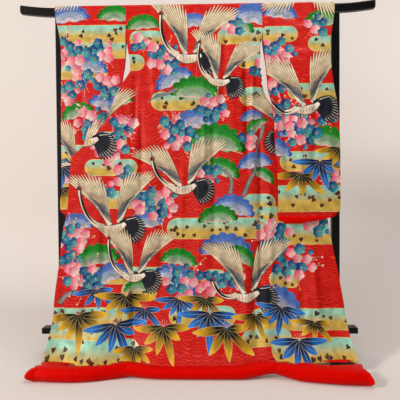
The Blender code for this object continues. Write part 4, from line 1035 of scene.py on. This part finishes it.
TO_VIEWER = (0.0, -1.0, 0.0)
for side, word in ((LEFT, "left"), (RIGHT, "right")):
    half = HALF[side]
    shapes = half_of_print(side)
    outer = lambda h, half=half: read(half, "side", h) - SEAM
    edge = outline(HEM_LEVEL - TUCKED, RIDGE, lambda h: SEAM + 0 * h, outer)
    finer = [tuple(point) for point in crease_points(CREASES) * (side, 1)]
    flat, faces, tops = cut_panel(edge, shapes, PANEL_PITCH, ridge_rows(0.005, 0.30) + finer)
    placed = back_panel(side, flat[:, 0], flat[:, 1])
    faces = turned_out(placed, faces, slice(None), TO_VIEWER)
    piece = cloth("back_" + word + "_silk", flat, faces, tops, placed, shapes)
    declare("back_" + word, flat, faces)
    for part, node, top in (("front", "front_", RIDGE), ("gusset", "okumi_", TIP_HEIGHT)):
        def first(h, side=side, part=part):
            return span(side, part, h)[0] + SEAM

        def last(h, side=side, part=part):
            start, width = span(side, part, h)
            return start + np.maximum(width - SEAM, 2 * SEAM)

        edge = outline(HEM_LEVEL - TUCKED, top, first, last)
        turn = fold_points(side, part, THREADS[1:-1:2])
        if part == "front":
            turn += ridge_rows(0.10, 0.30)
        flat, faces, tops = cut_panel(edge, shapes, PANEL_PITCH, turn + finer)
        placed = front_panel(side, part, flat[:, 0], flat[:, 1])
        faces = turned_out(placed, faces, flat[faces][:, :, 1].max(axis=1) < FOLD_START, TO_VIEWER)
        piece = cloth(node + word + "_silk", flat, faces, tops, placed, shapes)
        declare(node + word, flat, faces)

# Collar
# One doubled strip 55 mm wide: up the left front, round the nape on the rail's far side, and down
# the right front. Its side strips are laid like the fronts, and its neck part from a table.
NECK = table(
    "step seam_x seam_down edge_x edge_down",
    (0, 0.0899, 0.1038, 0.035, 0.1038), (1, 0.0897, 0.0612, 0.035, 0.086),
    (2, 0.0897, 0.0272, 0.0335, 0.072), (3, 0.0897, 0.0194, 0.0318, 0.066),
    (4, 0.0897, 0.0115, 0.03, 0.061), (5, 0.0897, 0.0003, 0.026, 0.056), (6, 0.07, 0.0003, 0.021, 0.051),
    (7, 0.045, 0.0003, 0.014, 0.0475), (8, 0.022, 0.0003, 0.007, 0.0458), (9, 0.0, 0.0003, 0.0, 0.045),
)
NECK_LEVEL, NECK_STEP = RIDGE - 0.1038, 0.025
COLLAR_LENGTH, COLLAR_THICK = 2.42, 0.0032
neck_parts = np.linspace(0, 1, 19)
steps = np.concatenate([np.linspace(0, 5, 26), np.linspace(5, 9, 25)[1:]])
step_grid, part_grid = (values.ravel() for values in np.meshgrid(steps, neck_parts, indexing="ij"))
neck_x, neck_down = (
    read(NECK, "seam_" + way, step_grid) * (1 - part_grid) + read(NECK, "edge_" + way, step_grid) * part_grid
    for way in ("x", "down")
)
neck_rows = RIDGE - neck_down
hanging = np.stack([neck_x, read(DRAPE, "hidden", neck_rows), neck_rows], axis=-1)
neck = over_rail(hanging, neck_x, neck_rows, 1)
rise = 0.004 * np.maximum(0, 1 - (neck_x / 0.090) ** 2) * np.exp(-(((neck_down - 0.010) / 0.012) ** 2))
neck[:, 2] += rise
rows, columns = len(steps), len(neck_parts)
index = np.arange(rows * columns).reshape(rows, columns)
quads = [index[:-1, :-1], index[:-1, 1:], index[1:, 1:], index[1:, :-1]]
a, b, c, d = (corner.ravel() for corner in quads)
neck_faces = np.concatenate([np.stack([a, b, c], 1), np.stack([a, c, d], 1)])
neck_flat = np.stack([part_grid * COLLAR_WIDTH, NECK_LEVEL + step_grid * NECK_STEP], 1)
flats, all_faces, all_tops, all_placed, printed_shapes, count = [], [], [], [], [], 0
for side in (LEFT, RIGHT):
    def first(h, side=side):
        return span(side, "collar", h)[0] + SEAM

    def last(h, side=side):
        return span(side, "collar", h)[0] + COLLAR_WIDTH

    edge = outline(COLLAR_START + 2 * SEAM, NECK_LEVEL, first, last)
    start = float(first(np.array([NECK_LEVEL]))[0])
    top_row = start + neck_parts[1:-1] * (COLLAR_WIDTH - SEAM)
    rows = len(edge) // 2
    edge = np.concatenate([edge[:rows], np.stack([top_row[::-1], 0 * top_row + NECK_LEVEL], 1), edge[rows:]])
    shapes = half_of_print(side)
    flat, faces, tops = cut_panel(edge, shapes, COLLAR_PITCH, fold_points(side, "collar", THREADS[2:-1:4]))
    placed = front_panel(side, "collar", flat[:, 0], flat[:, 1])
    at_top = np.abs(flat[:, 1] - NECK_LEVEL) < 1e-7
    row = neck[:columns] * (side, 1, 1)
    for place in np.flatnonzero(at_top):
        part = (flat[place, 0] - start) / (COLLAR_WIDTH - SEAM)
        placed[place] = row[int(round(part * (columns - 1)))]
    faces = turned_out(placed, faces, flat[faces][:, :, 1].max(axis=1) < FOLD_START, TO_VIEWER)
    round_neck = turned_out(neck * (side, 1, 1), neck_faces, slice(None), (0.0, 1.0, 1.0))
    flats += [flat, neck_flat]
    all_placed += [placed, neck * (side, 1, 1)]
    all_faces += [faces + count, round_neck + count + len(flat)]
    all_tops += [np.where(tops < 0, -1, tops + len(printed_shapes)), np.full(len(neck_faces), -1)]
    printed_shapes += shapes
    count += len(flat) + len(neck_flat)
flat, faces, tops = np.concatenate(flats), np.concatenate(all_faces), np.concatenate(all_tops)
collar = cloth("collar_silk", flat, faces, tops, np.concatenate(all_placed), printed_shapes, COLLAR_THICK)
declare("collar", flat, faces, (COLLAR_WIDTH, COLLAR_LENGTH))

# Sleeves
# Each is one cloth: up the far wall, over the rail and down the wall that faces the viewer.
SLEEVE = {
    LEFT: table(
        "height inner outer near far",
        (0.693, 0.36, 0.652, -0.05, -0.031), (0.765, 0.36, 0.651, -0.05, -0.031),
        (0.812, 0.36, 0.644, -0.049, -0.03), (1.001, 0.36, 0.643, -0.047, -0.029),
        (1.14, 0.358, 0.644, -0.043, -0.027), (1.305, 0.352, 0.642, -0.038, -0.025),
        (1.42, 0.335, 0.639, -0.038, -0.024), (1.49, 0.333, 0.64, -0.038, -0.01),
        (1.56, 0.333, 0.65, -0.0345, 0.008), (1.601, 0.333, 0.66, -0.029, 0.017),
        (1.64, 0.333, 0.668, -0.0235, 0.0215), (1.674, 0.333, 0.671, -0.0215, 0.0215),
    ),
    RIGHT: table(
        "height inner outer near far",
        (0.693, 0.367, 0.654, -0.103, -0.083), (0.8, 0.369, 0.654, -0.1, -0.08),
        (0.985, 0.359, 0.654, -0.095, -0.075), (1.079, 0.355, 0.652, -0.091, -0.072),
        (1.189, 0.348, 0.645, -0.086, -0.068), (1.273, 0.328, 0.631, -0.08, -0.062),
        (1.384, 0.32, 0.621, -0.068, -0.045), (1.42, 0.316, 0.62, -0.062, -0.034),
        (1.49, 0.31, 0.621, -0.047, -0.01), (1.56, 0.308, 0.633, -0.0345, 0.008),
        (1.601, 0.308, 0.64, -0.029, 0.017), (1.64, 0.308, 0.646, -0.0235, 0.0215),
        (1.674, 0.308, 0.647, -0.0215, 0.0215),
    ),
}
FAR_OUTER = table(
    "height outer",
    (1.37, 0.643), (1.42, 0.63), (1.601, 0.63), (1.64, 0.642), (1.674, 0.645),
)
SLEEVE_FOLDS = (
    (0.43, 0.026, 0.004, 0.7, 1.52), (0.5, 0.03, -0.003, 0.7, 1.5), (0.58, 0.024, 0.003, 0.72, 1.5),
)
# The two walls of a sleeve close towards the lower edge, and below the cuff towards the outer one.
SLEEVE_BOTTOM, SLEEVE_CORNER, BOTTOM_ROUND, CUFF_OPENS = 0.693, 0.035, 0.025, (1.40, 1.46)
LIPS, OUTER_LIPS = 0.0017, 0.0005
SLEEVE_CREASES = (
    (0.35, 1.625, 0.48, 1.6, 0.009, 0.0018), (0.42, 1.57, 0.64, 1.545, 0.01, -0.002),
    (0.33, 1.5, 0.56, 1.455, 0.012, 0.0022), (0.4, 1.38, 0.41, 0.8, 0.012, 0.003),
    (0.46, 1.3, 0.48, 0.74, 0.014, -0.0024), (0.55, 1.4, 0.53, 0.82, 0.012, 0.0026),
    (0.6, 1.25, 0.61, 0.76, 0.01, -0.0018),
)


def sleeve_edges(side, height, far):
    inner, outer = read(SLEEVE[side], "inner", height), read(SLEEVE[side], "outer", height)
    if far:
        outer = np.where(height > 1.37, np.minimum(outer, read(FAR_OUTER, "outer", height)), outer)
    return inner + SEAM, outer


def sleeve_low(side, part):
    inner, outer = sleeve_edges(side, np.array(SLEEVE_BOTTOM), False)
    over = np.clip(part * (outer - inner) - (outer - inner - SLEEVE_CORNER), 0, SLEEVE_CORNER)
    return SLEEVE_BOTTOM + SLEEVE_CORNER - np.sqrt(SLEEVE_CORNER**2 - over**2)


def sleeve_wall(side, x, height, far):
    """Points of a sleeve's near or far wall, at x from the centre back."""
    inner, outer = sleeve_edges(side, height, far)
    part = np.clip((x - inner) / (outer - inner), 0, 1)
    near_y, far_y = read(SLEEVE[side], "near", height), read(SLEEVE[side], "far", height)
    full = 1 - (1 - fade(height, *CUFF_OPENS)) * part**5
    full = full * (1 - np.exp(-np.maximum(height - sleeve_low(side, part), 0) / BOTTOM_ROUND))
    lips = LIPS - OUTER_LIPS * part**5
    half = lips + ((far_y - near_y) / 2 - lips) * full
    bend = (folds(SLEEVE_FOLDS, x, height) + creases(SLEEVE_CREASES, x, height)) * (1 - part**5)
    y = (near_y + far_y) / 2 + (half if far else -half) + bend
    return over_rail(np.stack([side * x, y, height], axis=-1), side * x, height, 1 if far else -1)


for side, word in ((LEFT, "left"), (RIGHT, "right")):
    corner = SLEEVE_BOTTOM + SLEEVE_CORNER * (1 - np.cos(np.linspace(0, math.pi / 2, 8)))[:-1]
    rows = np.concatenate([[SLEEVE_BOTTOM - TUCKED], corner, heights(SLEEVE_BOTTOM + SLEEVE_CORNER, RIDGE)])
    below = np.clip(SLEEVE_BOTTOM + SLEEVE_CORNER - rows, 0, SLEEVE_CORNER)
    cut_in = SLEEVE_CORNER - np.sqrt(SLEEVE_CORNER**2 - below**2)
    near_inner, near_outer = sleeve_edges(side, rows, False)
    far_inner, far_outer = sleeve_edges(side, rows, True)
    up = np.stack([near_outer - cut_in, rows], 1)[:-1]
    across_far = np.stack([far_outer - cut_in, 2 * RIDGE - rows], 1)[::-1]
    down_far = np.stack([far_inner, 2 * RIDGE - rows], 1)
    down_near = np.stack([near_inner, rows], 1)[::-1][1:]
    edge = np.concatenate([up, across_far[1:], down_far[:-1], down_near])
    finer = ridge_rows(0.32, 0.66) + [tuple(point) for point in crease_points(SLEEVE_CREASES)]
    finer += [(x, 2 * RIDGE - z) for x, z in finer]
    flat, faces, tops = cut_panel(edge, SHAPES[word], PANEL_PITCH, finer)
    far = flat[:, 1] > RIDGE
    rows = np.where(far, 2 * RIDGE - flat[:, 1], flat[:, 1])
    near_wall, far_wall = (sleeve_wall(side, flat[:, 0], rows, wall) for wall in (False, True))
    placed = np.where(far[:, None], far_wall, near_wall)
    faces = turned_out(placed, faces, flat[faces][:, :, 1].max(axis=1) < 1.4, TO_VIEWER)
    piece = cloth("sleeve_" + word + "_silk", flat, faces, tops, placed, SHAPES[word])
    declare("sleeve_" + word, flat, faces)

# Rack
# Six wood pieces keep their solid form and get the lacquer.
for name in ("top_rail", "post_left", "post_right", "lower_rail", "foot_left", "foot_right"):
    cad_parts[name].data.materials.clear()
    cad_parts[name].data.materials.append(lacquer)

# Padded hem and the red rolls under the sleeves
# Thick red lining silk over cotton wadding: filled under pressure, with fine wrinkles across the roll.
SHRUNK, OFF_FLOOR, FILLING_FRAMES = 0.0012, 0.0008, 20
WAVES = ((1.0, 0.0135, 2.1, 19, 0), (0.6, 0.0083, 1.7, 31, 1))


def stuffed(node, voxel, limit, wrinkle):
    """A node's form, filled like wadding but moved no more than the limit, then wrinkled."""
    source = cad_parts[node]
    mesh = source.data.copy()
    mesh.transform(source.matrix_world)
    made = new_object(node + "_cloth", mesh)
    select_only(made)
    bpy.ops.object.mode_set(mode="EDIT")
    bpy.ops.mesh.select_all(action="SELECT")
    bpy.ops.mesh.remove_doubles(threshold=1e-5)
    bpy.ops.object.mode_set(mode="OBJECT")
    remesh = made.modifiers.new("Remesh", "REMESH")
    remesh.mode, remesh.voxel_size = "VOXEL", voxel
    bpy.ops.object.modifier_apply(modifier="Remesh")
    points, normals = every(made, "co"), every(made, "normal")
    put(made, points - SHRUNK * normals)
    fabric = made.modifiers.new("Filling", "CLOTH")
    fabric.settings.use_pressure, fabric.settings.uniform_pressure_force = True, 4.0
    fabric.settings.effector_weights.gravity = 0.0
    for number in range(1, FILLING_FRAMES + 1):
        bpy.context.scene.frame_set(number)
    bpy.ops.object.modifier_apply(modifier="Filling")
    bpy.context.scene.frame_set(1)
    moved = every(made, "co") - points
    reach = np.maximum(np.linalg.norm(moved, axis=1, keepdims=True), 1e-9)
    points = points + moved * np.minimum(1, limit / reach)
    points[:, 2] = np.maximum(points[:, 2], OFF_FLOOR)
    put(made, points)
    finer = made.modifiers.new("Finer", "SUBSURF")
    finer.levels = 1
    bpy.ops.object.modifier_apply(modifier="Finer")
    points, normals = every(made, "co"), every(made, "normal")
    x, high = points[:, 0], points[:, 2] - points[:, 2].min()
    share = np.clip(high / max(float(high.max()), 1e-6), 0, 1)
    lean = x + 0.004 * np.sin(9 * share + 23 * x)
    waves = sum(
        size * np.sin(2 * math.pi * lean / pitch + sway * np.sin(rate * x + phase))
        for size, pitch, sway, rate, phase in WAVES
    )
    patches = 0.45 + 0.55 * np.sin(13 * x + 1.5 * np.sin(29 * x)) ** 2
    depth = wrinkle * patches * (0.25 + 0.75 * share) * np.clip(high / 0.012, 0, 1)
    points = points + normals * (waves * depth)[:, None]
    points[:, 2] = np.maximum(points[:, 2], OFF_FLOOR)
    put(made, points)
    bpy.ops.object.shade_smooth()
    made.data.materials.clear()
    made.data.materials.append(lining)
    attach(made, "root")
    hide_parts(node)
    return made


def every(made, what):
    return np.array([getattr(vertex, what) for vertex in made.data.vertices])


def put(made, points):
    made.data.vertices.foreach_set("co", points.ravel())
    made.data.update()


stuffed("padded_hem", 0.0055, 0.008, 0.0011)
for name in ("sleeve_band_left", "sleeve_band_right"):
    stuffed(name, 0.004, 0.003, 0.0007)

# Room: a pale paper backdrop that curves up from the floor, four soft lights, and the camera at
# the photo's place. The curve is clear from behind, so that the garment's far side can be seen.
def room_surface(name, profile, see_through):
    """A surface 12 m wide along a profile of y and z."""
    made, tree, shader = new_finish(name, {"Base Color": rgba("D4CECA"), "Roughness": 0.9})
    mesh = bpy.data.meshes.new(name)
    points = [(x, y, z) for y, z in profile for x in (-6, 6)]
    faces = [(low, low + 1, low + 3, low + 2) for low in range(0, len(points) - 2, 2)]
    mesh.from_pydata(points, [], faces)
    for polygon in mesh.polygons:
        polygon.use_smooth = True
    if see_through:
        clear = add_node(tree, "ShaderNodeBsdfTransparent")
        behind = add_node(tree, "ShaderNodeNewGeometry")
        sockets = {0: behind.outputs["Backfacing"], 1: shader.outputs[0], 2: clear.outputs[0]}
        mixed = add_node(tree, "ShaderNodeMixShader", (), sockets)
        tree.links.new(mixed.outputs[0], tree.nodes["Material Output"].inputs[0])
    mesh.materials.append(made)
    new_object(name, mesh)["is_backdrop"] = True


BEND_START, BEND, ABOVE_FLOOR, BACKDROP_TOP = 1.0, 0.7, 0.0004, 5.0
curve = [
    (BEND_START + BEND * math.sin(angle), ABOVE_FLOOR + BEND - BEND * math.cos(angle))
    for angle in np.linspace(0, math.pi / 2, 15)
]
room_surface("pale_floor", [(-6, 0), (6, 0)], False)
room_surface("pale_backdrop", curve + [(BEND_START + BEND, BACKDROP_TOP)], True)


def lamp(name, place, aim, size, power, tint):
    light = bpy.data.lights.new(name, "AREA")
    light.shape, light.size, light.energy, light.color = "DISK", size, power, colour(tint)
    made = new_object(name, light)
    made.location = place
    made.rotation_euler = (Vector(aim) - Vector(place)).to_track_quat("-Z", "Y").to_euler()


lamp("key", (-5.0, -3.7, 3.4), (0, 0, 0.9), 1.3, 350, "FFF8F0")
lamp("fill", (-0.6, -4.4, 1.3), (0.1, 0, 0.7), 2.4, 44, "FFFAF6")
lamp("top", (0.5, -0.9, 3.6), (0.3, 0, 0.2), 1.8, 42, "FFFFFF")
lamp("backdrop", (2.7, 0.4, 2.2), (1.3, 1.5, 0.6), 1.6, 19, "FFFAF6")
world = bpy.data.worlds.new("soft_daylight")
world.use_nodes = True
world.node_tree.nodes["Background"].inputs[0].default_value = rgba("F3ECE4")
world.node_tree.nodes["Background"].inputs[1].default_value = 0.26
bpy.context.scene.world = world

lens = bpy.data.cameras.new("photo_view")
SENSOR, FOCAL_PIXELS, PHOTO_PIXELS = 36.0, 448.18, 400
lens.sensor_width, lens.lens = SENSOR, FOCAL_PIXELS / PHOTO_PIXELS * SENSOR
camera = new_object("photo_view", lens)
YAW, PITCH, ROLL = math.radians(1.2693), math.radians(1.3211), math.radians(0.4405)
camera.location = (0.058, -2.15 + BACK_OF_RACK, 0.809)
ahead = Vector((-math.sin(YAW) * math.cos(PITCH), math.cos(YAW) * math.cos(PITCH), -math.sin(PITCH)))
turn_about = ahead.to_track_quat("-Z", "Y").to_matrix().to_4x4()
camera.rotation_euler = (turn_about @ Matrix.Rotation(-ROLL, 4, "Z")).to_euler()
bpy.context.scene.camera = camera
bpy.context.scene.view_settings.view_transform = "Standard"

low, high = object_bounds()
